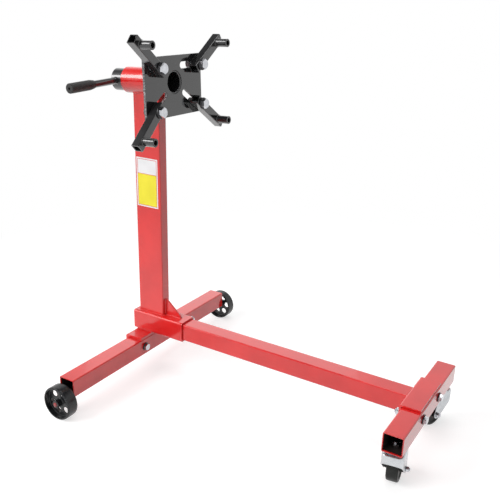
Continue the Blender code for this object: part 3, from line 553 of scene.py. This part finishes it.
# Bolts and nuts
# Zinc plated hex bolts, each with a plain washer under its head that is coloured dark as painted shade for
# the dark reflection there. Big ones clamp the arms through the slots of the plate with nuts coloured dark
# as painted shade behind the plate, and smaller ones hold the cross tubes in their brackets.
zinc_plate = surface("zinc_plate", [(0.52, 0.53, 0.56), (0.68, 0.69, 0.72)], patch=70,
                     roughness=(0.14, 0.26), grain=900, relief=0.10, metallic=1.0)
along_x = Matrix(((0, 0, 1, 0), (1, 0, 0, 0), (0, 1, 0, 0), (0, 0, 0, 1)))
head_share = 0.63
washer_share = 0.19
thread_pitch_share = 0.125


def hex_prism(name, flats, low, high, both_ends):
    """Hexagon bar whose top, or both ends, are chamfered in the lathe."""
    prism = rod(name, flats / math.sqrt(3), (0, 0, (low + high) / 2), "Z", high - low, sides=6)
    mark(prism, "EDGE", runs_along(2))
    bpy.ops.mesh.bevel(offset=flats * 0.015, segments=2, affect="EDGES")
    leave_edit()
    face_radius = flats * 0.47
    past_corners = flats * 0.62
    drop = (past_corners - face_radius) * math.tan(math.radians(30))
    rings = [(past_corners, low), (past_corners, high - drop), (face_radius, high)]
    if both_ends:
        rings = [(face_radius, low), (past_corners, low + drop)] + rings[1:]
    cut_away(prism, turned("chamfer", rings, sides=96), "INTERSECT")
    soften(prism, flats * 0.008, sharpest=25)
    return prism


def hex_bolt(name, thread, length):
    """Bolt with the top of its head at the origin and its tip down at -length."""
    radius = thread / 2
    head_foot = -head_share * thread
    head = hex_prism(name, 1.5 * thread, head_foot, 0, both_ends=False)
    pitch = thread * thread_pitch_share
    root = radius - 0.55 * pitch
    rings = [(root * 0.9, -length), (root, pitch / 2 - length)]
    grooves = int(1.6 * thread / pitch)
    for groove in range(grooves):
        crest = pitch * (groove + 1) - length
        rings += [(radius, crest), (radius, crest + pitch / 8), (root, crest + pitch / 2)]
    rings += [(radius, pitch * (grooves + 1) - length), (radius, head_foot)]
    shank = turned("shank", rings, sides=32)
    pick(shank)
    head.select_set(True)
    bpy.context.view_layer.objects.active = head
    bpy.ops.object.join()
    return head


def plain_washer(name, thread):
    """Washer that lies under the head of a bolt whose top is at the origin."""
    top = -head_share * thread
    foot = top - washer_share * thread
    edge = 0.0004
    bore = thread / 2 + edge
    return turned(name, [(bore, foot), (thread - edge, foot), (thread, foot + edge),
                         (thread, top - edge), (thread - edge, top), (bore, top)], bored=True)


def hex_nut(name, thread, height):
    """Nut about the origin, chamfered on both ends and bored for its bolt."""
    nut = hex_prism(name, 1.5 * thread, -height / 2, height / 2, both_ends=True)
    cut_away(nut, rod("nut_bore", thread / 2 + 0.0002, (0, 0, 0), "Z", 3 * height, sides=32))
    return nut


def fit_bolt(bolt, washer, node, frame_pose, turn, body):
    """Set a bolt and its washer so that the top of the head is where the CAD node has it."""
    low, high = extent(node, frame_pose @ turn)
    top = Matrix.Translation(((low.x + high.x) / 2, (low.y + high.y) / 2, high.z))
    show(bolt, frame_pose @ turn @ top, zinc_plate, body, "zinc", node)
    # The washer is coloured dark: painted shade for the dark reflection under the head.
    show(washer, frame_pose @ turn @ top, dark_steel_painted_shade, body, "zinc", node)


def fit_nut(nut, node, frame_pose, turn, body, finish=zinc_plate):
    """Set a nut in the middle of its CAD node."""
    low, high = extent(node, frame_pose @ turn)
    show(nut, frame_pose @ turn @ Matrix.Translation((low + high) / 2), finish, body, "zinc", node)


def length_of(node, pose):
    """Size of a CAD node along the Z axis of a frame."""
    low, high = extent(node, pose)
    return high.z - low.z


# Dark colour for washers, arm nuts and axle caps: painted shade for the darkness under bolt heads, behind
# the plate and at the centre of the hub.
dark_steel_painted_shade = surface("dark_steel_painted_shade", [(0.030, 0.030, 0.032), (0.070, 0.070, 0.072)], patch=60,
                     roughness=(0.22, 0.36), grain=900, relief=0.10, metallic=0.6)
arm_thread = 0.016
arm_washer = plain_washer("arm_washer", arm_thread)
arm_screw = hex_bolt("arm_screw", arm_thread, length_of("arm_bolt_upper_right", head_pose @ along_x))
arm_hex_nut = hex_nut("arm_hex_nut", arm_thread, length_of("arm_nut_upper_right", head_pose @ along_x))
for corner_name in corner_names:
    body = "seat_" + corner_name
    screw = another(arm_screw, "arm_screw_" + corner_name)
    washer = another(arm_washer, "arm_washer_" + corner_name)
    fit_bolt(screw, washer, "arm_bolt_" + corner_name, head_pose, along_x, body)
    nut = another(arm_hex_nut, "arm_hex_nut_" + corner_name)
    # The arm nuts are coloured dark: painted shade behind the plate.
    fit_nut(nut, "arm_nut_" + corner_name, head_pose, along_x, body, dark_steel_painted_shade)
discard(arm_screw)
discard(arm_washer)
discard(arm_hex_nut)

frame_thread = 0.012
tube_washer = plain_washer("tube_washer", frame_thread)
for end in ("rear", "front"):
    bolt_node = end + "_bracket_bolt_"
    nut_node = end + "_bracket_nut_"
    tube_bolt = hex_bolt("tube_bolt", frame_thread, length_of(bolt_node + "right", stand_pose @ along_x))
    tube_nut = hex_nut("tube_nut", frame_thread, length_of(nut_node + "right", stand_pose @ along_x))
    for side in ("right", "left"):
        bolt = another(tube_bolt, f"{end}_tube_bolt_{side}")
        washer = another(tube_washer, f"{end}_tube_washer_{side}")
        fit_bolt(bolt, washer, bolt_node + side, stand_pose, along_x, "stand")
        fit_nut(another(tube_nut, f"{end}_tube_nut_{side}"), nut_node + side, stand_pose, along_x, "stand")
    discard(tube_bolt)
    discard(tube_nut)
discard(tube_washer)


# Locks of the leg and of the head
# A round nut is welded over a hole in the far side of the sleeve, and another on the collar. The
# bolt in it is screwed in by hand until its tip bears on the tube inside.
for lock, pose, body in (("leg_lock", stand_pose, "stand"), ("head_lock", head_pose, "head_lock")):
    low, high = extent(lock + "_boss", pose @ along_y)
    radius = (high.x - low.x) / 2
    bore = frame_thread / 2 + 0.0003
    height = high.z - low.z
    boss = turned(lock + "_weld_nut", [(bore, 0), (radius, 0), (radius, height - 0.0012),
                                       (radius - 0.0012, height), (bore, height)], bored=True)
    soften(boss, 0.0003, sharpest=30)
    seat = Matrix.Translation(((low.x + high.x) / 2, (low.y + high.y) / 2, low.z))
    show(boss, pose @ along_y @ seat, red_enamel, "stand", "red_paint", lock + "_boss")
    lock_bolt = hex_bolt(lock + "_screw", frame_thread, length_of(lock + "_bolt", pose @ along_y))
    lock_washer = plain_washer(lock + "_washer", frame_thread)
    fit_bolt(lock_bolt, lock_washer, lock + "_bolt", pose, along_y, body)


# Rear wheels
# Cast wheels with a plain tread, a thin web pierced by six round holes, and a hub that turns on a
# stub axle. The axle is a painted bar welded under the cross tube, coloured a darker red than the frame as
# painted shade, and closed by a cap coloured dark as painted shade for the centre of the hub.
wheel_black = surface("wheel_black", [(0.008, 0.009, 0.010), (0.016, 0.017, 0.019)], patch=45,
                      roughness=(0.18, 0.30), grain=800, relief=0.08, specular=0.4)
# A darker copy of the frame's red for the axle ends: painted shade at the hub.
axle_red_painted_shade = surface("axle_red_painted_shade", [(0.22, 0.008, 0.010), (0.34, 0.014, 0.015)], patch=90,
                   roughness=(0.18, 0.30), grain=520, relief=0.10, coat=0.4)
facet_allowance = 1.0005
web_hole_count = 6
web_hole_radius = 0.0087
web_hole_ring = 0.0268
web_hole_turn = {"right": math.radians(14), "left": math.radians(7)}
for side, sign in (("right", -1), ("left", 1)):
    outward = stand_pose @ (along_y if sign > 0 else along_y @ Matrix.Rotation(math.pi, 4, "X"))
    low, high = extent("rear_wheel_" + side, outward)
    radius = (high.x - low.x) / 2 * facet_allowance
    width = 0.032
    inner_face = high.z - width
    bore = 0.0067
    hub = 0.0086
    rim = radius - 0.0050
    back_rim = radius - 0.0030
    web = 0.0026
    web_out = (inner_face + high.z + web) / 2
    web_in = web_out - web
    wheel = turned("wheel_" + side, [
        (bore, low.z), (hub, low.z), (hub + 0.0006, web_in - 0.0012), (hub + 0.0018, web_in),
        (rim - 0.0030, web_in), (rim - 0.0008, web_in - 0.0015), (back_rim, inner_face),
        (radius - 0.0016, inner_face), (radius - 0.0004, inner_face + 0.0016),
        (radius, inner_face + 0.0050), (radius, high.z - 0.0050),
        (radius - 0.0004, high.z - 0.0024), (radius - 0.0016, high.z - 0.0008), (radius - 0.0040, high.z),
        (rim, high.z), (rim - 0.0008, web_out + 0.0015), (rim - 0.0030, web_out), (hub + 0.0030, web_out),
        (hub + 0.0014, web_out + 0.0015), (hub + 0.0012, high.z), (bore, high.z)], sides=96, bored=True)
    hole = rod("web_hole", web_hole_radius, (web_hole_ring, 0, web_in), "Z", 0.018, sides=32)
    mark(hole, "FACE", lambda face: True)
    step = 2 * math.pi / web_hole_count
    bpy.ops.mesh.spin(steps=web_hole_count - 1, angle=step * (web_hole_count - 1), dupli=True,
                      center=(0, 0, 0), axis=(0, 0, 1))
    bpy.ops.mesh.select_all(action="SELECT")
    bpy.ops.mesh.normals_make_consistent(inside=False)
    leave_edit()
    cut_away(wheel, hole)
    soften(wheel, 0.0007, sharpest=40)
    holes_at = Matrix.Rotation(-sign * web_hole_turn[side], 4, "Z")
    show(wheel, outward @ holes_at, wheel_black, "wheel_" + side, "cast_wheel", "rear_wheel_" + side)

    low, high = extent("rear_axle_" + side, outward)
    radius = high.x
    axle = turned("axle_bar_" + side, [(radius - 0.001, low.z), (radius, low.z + 0.001),
                                       (radius, high.z - 0.002), (radius - 0.002, high.z)])
    soften(axle, 0.0004, sharpest=30)
    # The axle end takes the darker red, painted shade.
    show(axle, outward, axle_red_painted_shade, "stand", "red_paint", "rear_axle_" + side)

    low, high = extent("axle_cap_" + side, outward)
    cap_radius = high.x
    cap = turned("push_cap_" + side, [
        (radius + 0.0002, low.z), (cap_radius, low.z), (cap_radius, low.z + 0.0012),
        (cap_radius - 0.0012, high.z - 0.0004), (cap_radius - 0.0024, high.z), (radius + 0.0008, high.z),
        (radius + 0.0002, high.z - 0.0006)], bored=True)
    soften(cap, 0.0003, sharpest=30)
    # The cap is coloured dark: painted shade for the centre of the hub.
    show(cap, outward, dark_steel_painted_shade, "stand", "zinc", "axle_cap_" + side)


# Casters
# Each has a threaded stem through the bottom of the front tube with a ball race under it, a fork
# pressed from zinc plated sheet that swivels below the race, and a solid black wheel on a bolt.
fork_half = 0.0263
fork_crown = -0.0096
fork_skirt = 0.022
fork_corner = 0.014
fork_back = 0.024
fork_eye = 0.011
fork_sheet = 0.0025
black_nylon = surface("caster_tread", [(0.008, 0.009, 0.008), (0.016, 0.017, 0.016)], patch=60,
                      roughness=(0.30, 0.44), grain=900, relief=0.12, specular=0.3)
fork_steel = surface("fork_steel", [(0.50, 0.52, 0.54), (0.62, 0.64, 0.66)], patch=45,
                     roughness=(0.20, 0.32), grain=700, relief=0.08, metallic=1.0)
caster_thread = 0.008
stem_thread = 0.012
for side, sign in (("right", -1), ("left", 1)):
    swivel = Vector(joint_of["caster_swivel_" + side]["pos_m"])
    wheel_centre = Vector(joint_of[f"caster_wheel_{side}_spin"]["pos_m"])
    trail = wheel_centre - swivel
    trail -= trail.dot(upright) * upright
    across = upright.cross(trail.normalized())
    caster_pose = Matrix((trail.normalized(), across, upright)).transposed().to_4x4()
    caster_pose.translation = swivel
    mount_pose = stand_pose.copy()
    mount_pose.translation = swivel
    axle_point = caster_pose.inverted() @ wheel_centre

    low, high = extent("caster_stem_" + side, mount_pose)
    pitch = stem_thread * thread_pitch_share
    stem_radius = stem_thread / 2
    rings = [(0.0088, low.z), (0.0100, low.z + 0.0010), (0.0100, -0.0124), (stem_radius, -0.0124),
             (stem_radius, -0.0093), (0.0155, -0.0093), (0.0170, -0.0080), (0.0160, -0.0066),
             (0.0160, -0.0056), (0.0205, -0.0053), (0.0228, -0.0046), (0.0235, -0.0034),
             (0.0235, -0.0020), (0.0228, -0.0008), (0.0215, -0.0003), (stem_radius, -0.0003)]
    height = 0.0003
    while height + pitch < high.z - 0.001:
        rings += [(stem_radius, height), (stem_radius - 0.55 * pitch, height + pitch / 2)]
        height += pitch
    rings.append((stem_radius - 0.55 * pitch, high.z))
    stem = turned("caster_stem_and_race_" + side, rings, sides=48)
    show(stem, mount_pose, zinc_plate, "stand", "zinc", "caster_stem_" + side)
    stem_nut = hex_nut("stem_nut_" + side, stem_thread, length_of("caster_stem_nut_" + side, mount_pose))
    fit_nut(stem_nut, "caster_stem_nut_" + side, mount_pose, Matrix.Identity(4), "stand")

    fork = block("fork_shell_" + side, (-fork_half, -fork_half, -0.09), (0.06, fork_half, fork_crown))
    mark(fork, "FACE", lambda face: face.normal.z < -0.9 or face.normal.x > 0.9)
    bpy.ops.mesh.delete(type="ONLY_FACE")
    mark(fork, "EDGE", lambda edge: runs_along(2)(edge) and edge.verts[0].co.x < 0)
    bpy.ops.mesh.bevel(offset=fork_corner, segments=8, affect="EDGES")
    mark(fork, "EDGE", lambda edge: len(edge.link_faces) == 2
         and min(corner.co.z for corner in edge.verts) > fork_crown - 1e-5)
    bpy.ops.mesh.bevel(offset=0.004, segments=4, affect="EDGES")
    leave_edit()
    modify(fork, "SOLIDIFY", thickness=fork_sheet, offset=-1, use_even_offset=True)
    outline = rod("fork_outline", fork_eye, axle_point, "Y", 0.1, sides=64)
    mark(outline, "FACE", lambda face: False)
    top_left = Vector((-fork_half - 0.001, -0.05, fork_crown - fork_skirt))
    bottom_right = Vector((fork_back, 0.05, fork_crown + 0.005))
    bpy.ops.mesh.primitive_cube_add(size=1, location=(top_left + bottom_right) / 2,
                                    scale=bottom_right - top_left)
    bpy.ops.mesh.select_all(action="SELECT")
    bpy.ops.mesh.convex_hull()
    leave_edit()
    cut_away(fork, outline, "INTERSECT")
    soften(fork, 0.0005, sharpest=40)
    show(fork, caster_pose, fork_steel, "fork_" + side, "zinc", "caster_fork_" + side)

    outwards = along_y @ Matrix.Rotation(math.pi, 4, "X") if sign > 0 else along_y
    axle_bolt = hex_bolt("caster_axle_screw_" + side, caster_thread,
                         length_of("caster_axle_" + side, caster_pose @ outwards))
    axle_washer = plain_washer("caster_axle_washer_" + side, caster_thread)
    fit_bolt(axle_bolt, axle_washer, "caster_axle_" + side, caster_pose, outwards, "fork_" + side)
    axle_nut = hex_nut("caster_axle_hex_nut_" + side, caster_thread,
                       length_of("caster_axle_nut_" + side, caster_pose @ outwards))
    fit_nut(axle_nut, "caster_axle_nut_" + side, caster_pose, outwards, "fork_" + side)

    wheel_pose = caster_pose @ Matrix.Translation(axle_point) @ along_y
    low, high = extent("caster_wheel_" + side, wheel_pose)
    radius = (high.x - low.x) / 2
    bore = 0.0045
    hub = 0.0095
    half_width = 0.0145
    rim = radius - 0.008
    dish = half_width - 0.003
    half_rings = [(bore, high.z), (hub, high.z), (hub + 0.0008, dish + 0.0012), (hub + 0.0022, dish),
                  (rim - 0.0022, dish), (rim - 0.0006, dish + 0.0012), (rim, half_width),
                  (radius - 0.0034, half_width), (radius - 0.0012, half_width - 0.0008),
                  (radius - 0.0003, half_width - 0.0026), (radius, half_width - 0.0050)]
    rings = [(ring_radius, -height) for ring_radius, height in half_rings] + half_rings[::-1]
    roller = turned("roller_" + side, rings, sides=96, bored=True)
    soften(roller, 0.0005, sharpest=40)
    show(roller, wheel_pose, black_nylon, "roller_" + side, "caster_tread", "caster_wheel_" + side)


# Weld beads
# Rippled beads laid by hand where the frame's pieces meet, and round the foot of each spacer and
# the end of the turning tube. They are painted over with the frame.
ripple = 0.0021
ripple_overlap = 2.8
bead_width = 0.0056
hand_wobble = bpy.data.textures.new("hand_wobble", "CLOUDS")
hand_wobble.noise_scale = 0.011


def lump(name, centre, size):
    """One ripple of a bead, a squashed ball."""
    bpy.ops.object.select_all(action="DESELECT")
    bpy.ops.mesh.primitive_uv_sphere_add(segments=12, ring_count=8, radius=0.5, location=centre, scale=size)
    bpy.ops.object.transform_apply(location=True, rotation=True, scale=True)
    bpy.context.object.name = name
    return bpy.context.object


def show_weld(bead, wobble, pose, body, finish, slot):
    """Make a bead a little uneven, as a hand lays it, and set it in its place."""
    modify(bead, "DISPLACE", texture=hand_wobble, texture_coords="LOCAL", mid_level=0.5, strength=wobble)
    show(bead, pose, finish, body, slot)


def weld_row(name, start, end, pose, body="stand", finish=red_enamel, slot="red_paint", width=bead_width):
    """Straight bead between two points of a frame."""
    start, end = Vector(start), Vector(end)
    count = max(2, round((end - start).length / ripple))
    step = (end - start) / count
    size = Vector([max(width, abs(part) * ripple_overlap) if abs(part) < 1e-6
                   else abs(part) * ripple_overlap for part in step])
    bead = lump(name, start + step / 2, size)
    modify(bead, "ARRAY", count=count, use_relative_offset=False, use_constant_offset=True,
           constant_offset_displace=step)
    show_weld(bead, width * 0.30, pose, body, finish, slot)


def weld_ring(name, centre, radius, pose, body, finish=black_enamel, slot="black_paint", width=bead_width):
    """Bead that runs once round the X axis of a frame."""
    count = round(2 * math.pi * radius / ripple)
    bead = lump(name, Vector((0, radius, 0)), Vector((width, width, ripple * ripple_overlap)))
    mark(bead, "FACE", lambda face: True)
    bpy.ops.mesh.spin(steps=count - 1, angle=2 * math.pi * (count - 1) / count, dupli=True,
                      center=(0, 0, 0), axis=(1, 0, 0))
    bpy.ops.mesh.select_all(action="SELECT")
    bpy.ops.mesh.normals_make_consistent(inside=False)
    leave_edit()
    show_weld(bead, width * 0.45, pose @ Matrix.Translation(centre), body, finish, slot)


post_foot = post_low.z
for sign, side in ((-1, "right"), (1, "left")):
    weld_row("weld_post_" + side, (post_low.x + 0.003, sign * post_high.y, post_foot),
             (post_high.x - 0.003, sign * post_high.y, post_foot), stand_pose)
    weld_row("weld_gusset_foot_" + side, (gusset_low.x + 0.003, sign * gusset_high.y, post_foot),
             (gusset_high.x, sign * gusset_high.y, post_foot), stand_pose)
    weld_row("weld_gusset_back_" + side, (gusset_low.x, sign * gusset_high.y, post_foot + 0.003),
             (gusset_low.x, sign * gusset_high.y, gusset_high.z), stand_pose)
    weld_row("weld_post_front_" + side, (post_high.x, sign * 0.0045, post_foot),
             (post_high.x, sign * (post_high.y - 0.002), post_foot), stand_pose)
    bracket_low, bracket_high = extent("rear_bracket", stand_pose)
    weld_row("weld_sleeve_" + side, (bracket_low.x + 0.004, sign * (sleeve_high.y - 0.004), sleeve_low.z),
             (bracket_high.x - 0.002, sign * (sleeve_high.y - 0.004), sleeve_low.z), stand_pose)
    leg_low, leg_high = extent("main_leg", stand_pose)
    weld_row("weld_leg_end_" + side, (leg_high.x, sign * leg_high.y, leg_low.z + 0.006),
             (leg_high.x, sign * leg_high.y, leg_high.z - 0.004), stand_pose)
    bed_width = post_high.y
    bed_drop = -math.sqrt(collar_radius ** 2 - bed_width ** 2)
    to_head = head_pose.inverted() @ stand_pose
    bed_start = to_head @ Vector((post_low.x + 0.003, 0, post_high.z))
    bed_end = to_head @ Vector((post_high.x - 0.003, 0, post_high.z))
    weld_row("weld_collar_" + side, (bed_start.x, sign * bed_width, bed_drop),
             (bed_end.x, sign * bed_width, bed_drop), head_pose)
weld_row("weld_post_back", (post_low.x, -post_high.y + 0.003, post_foot),
         (post_low.x, post_high.y - 0.003, post_foot), stand_pose)
weld_ring("weld_plate", (plate_high.x - 0.0042, 0, 0), tube_radius - 0.0012, head_pose, "head",
          width=0.0056)
for corner_name, pose in arm_pose.items():
    weld_ring("weld_spacer_" + corner_name, (spacer_low.x, spacer_reach, 0), spacer_radius, pose,
              "swing_" + corner_name, width=0.0036)


# Studio
# A white floor that fades into a white background under a dim ceiling, soft lamps round the stand and
# above it, a narrow strip that shines along the round pieces, and a camera at the height and angle of
# the photograph.
def seen_ray(tree):
    """One for rays that show the background as it is: to the camera, off gloss and through glass."""
    path = tree.nodes.new("ShaderNodeLightPath")
    total = path.outputs["Is Camera Ray"]
    for kind in ("Is Glossy Ray", "Is Transmission Ray"):
        add = tree.nodes.new("ShaderNodeMath")
        add.operation = "ADD"
        add.use_clamp = True
        tree.links.new(total, add.inputs[0])
        tree.links.new(path.outputs[kind], add.inputs[1])
        total = add.outputs["Value"]
    return total


studio = bpy.data.worlds.new("studio")
bpy.context.scene.world = studio
studio.use_nodes = True
sky = studio.node_tree
ambient = sky.nodes["Background"]
ambient.inputs["Color"].default_value = (1, 1, 1, 1)
ambient.inputs["Strength"].default_value = 0.45
white_wall = sky.nodes.new("ShaderNodeBackground")
white_wall.inputs["Color"].default_value = (1, 1, 1, 1)
direction = sky.nodes.new("ShaderNodeTexCoord")
height = sky.nodes.new("ShaderNodeSeparateXYZ")
sky.links.new(direction.outputs["Generated"], height.inputs["Vector"])
dim_ceiling = sky.nodes.new("ShaderNodeMapRange")
dim_ceiling.inputs["From Min"].default_value = 0.62
dim_ceiling.inputs["From Max"].default_value = 0.76
dim_ceiling.inputs["To Min"].default_value = 1.0
dim_ceiling.inputs["To Max"].default_value = 0.06
sky.links.new(height.outputs["Z"], dim_ceiling.inputs["Value"])
sky.links.new(dim_ceiling.outputs["Result"], white_wall.inputs["Strength"])
choose = sky.nodes.new("ShaderNodeMixShader")
sky.links.new(seen_ray(sky), choose.inputs["Fac"])
sky.links.new(ambient.outputs["Background"], choose.inputs[1])
sky.links.new(white_wall.outputs["Background"], choose.inputs[2])
sky.links.new(choose.outputs["Shader"], sky.nodes["World Output"].inputs["Surface"])

bpy.ops.object.select_all(action="DESELECT")
bpy.ops.mesh.primitive_plane_add(size=60)
floor = bpy.context.object
floor.name = "floor"
white_floor = bpy.data.materials.new("white_floor")
white_floor.use_nodes = True
paper = white_floor.node_tree
paper.nodes.remove(paper.nodes["Principled BSDF"])
matt = paper.nodes.new("ShaderNodeBsdfDiffuse")
matt.inputs["Color"].default_value = (0.60, 0.60, 0.60, 1)
glow_near = paper.nodes.new("ShaderNodeEmission")
lift = paper.nodes.new("ShaderNodeMath")
lift.operation = "MULTIPLY"
lift.inputs[1].default_value = 0.60
seen_on_floor = seen_ray(paper)
paper.links.new(seen_on_floor, lift.inputs[0])
paper.links.new(lift.outputs["Value"], glow_near.inputs["Strength"])
near = paper.nodes.new("ShaderNodeAddShader")
paper.links.new(matt.outputs["BSDF"], near.inputs[0])
paper.links.new(glow_near.outputs["Emission"], near.inputs[1])
glow_far = paper.nodes.new("ShaderNodeEmission")
paper.links.new(seen_on_floor, glow_far.inputs["Strength"])
spot = paper.nodes.new("ShaderNodeTexCoord")
from_middle = paper.nodes.new("ShaderNodeVectorMath")
from_middle.operation = "LENGTH"
paper.links.new(spot.outputs["Object"], from_middle.inputs[0])
fade = paper.nodes.new("ShaderNodeMapRange")
fade.inputs["From Min"].default_value = 0.75
fade.inputs["From Max"].default_value = 1.8
paper.links.new(from_middle.outputs["Value"], fade.inputs["Value"])
blend_out = paper.nodes.new("ShaderNodeMixShader")
paper.links.new(fade.outputs["Result"], blend_out.inputs["Fac"])
paper.links.new(near.outputs["Shader"], blend_out.inputs[1])
paper.links.new(glow_far.outputs["Emission"], blend_out.inputs[2])
paper.links.new(blend_out.outputs["Shader"], paper.nodes["Material Output"].inputs["Surface"])
floor.data.materials.append(white_floor)

lamp_target = Vector((0, 0, 0.45))
unmirrored_lamps = ("front_softbox", "left_panel")
for lamp_name, lamp_place, lamp_width, lamp_height, lamp_power in (
        ("front_softbox", (-0.5, -3.2, 1.7), 2.2, 2.2, 14),
        ("left_panel", (-1.7, -2.4, 1.7), 1.2, 2.7, 52),
        ("left_strip", (-2.3, -1.8, 2.35), 0.6, 1.7, 26),
        ("back_panel", (-2.1, 3.0, 2.4), 2.4, 2.2, 8),
        ("top_softbox", (-0.2, 0.6, 3.2), 1.2, 1.2, 20)):
    bpy.ops.object.light_add(type="AREA", location=lamp_place)
    lamp = bpy.context.object
    lamp.name = lamp_name
    lamp.data.shape = "RECTANGLE"
    lamp.data.size = lamp_width
    lamp.data.size_y = lamp_height
    lamp.data.energy = lamp_power
    lamp.visible_glossy = lamp_name not in unmirrored_lamps
    lamp.rotation_euler = (lamp_target - lamp.location).to_track_quat("-Z", "Y").to_euler()

camera_tilt = (math.radians(70.1143), math.radians(-0.8803), math.radians(31.7826))
bpy.ops.object.camera_add(location=(0.84799, -1.46668, 1.05267), rotation=camera_tilt)
camera = bpy.context.object
camera.data.lens = 49.868
camera.data.sensor_width = 36
bpy.context.scene.camera = camera
bpy.context.scene.view_settings.view_transform = "Standard"
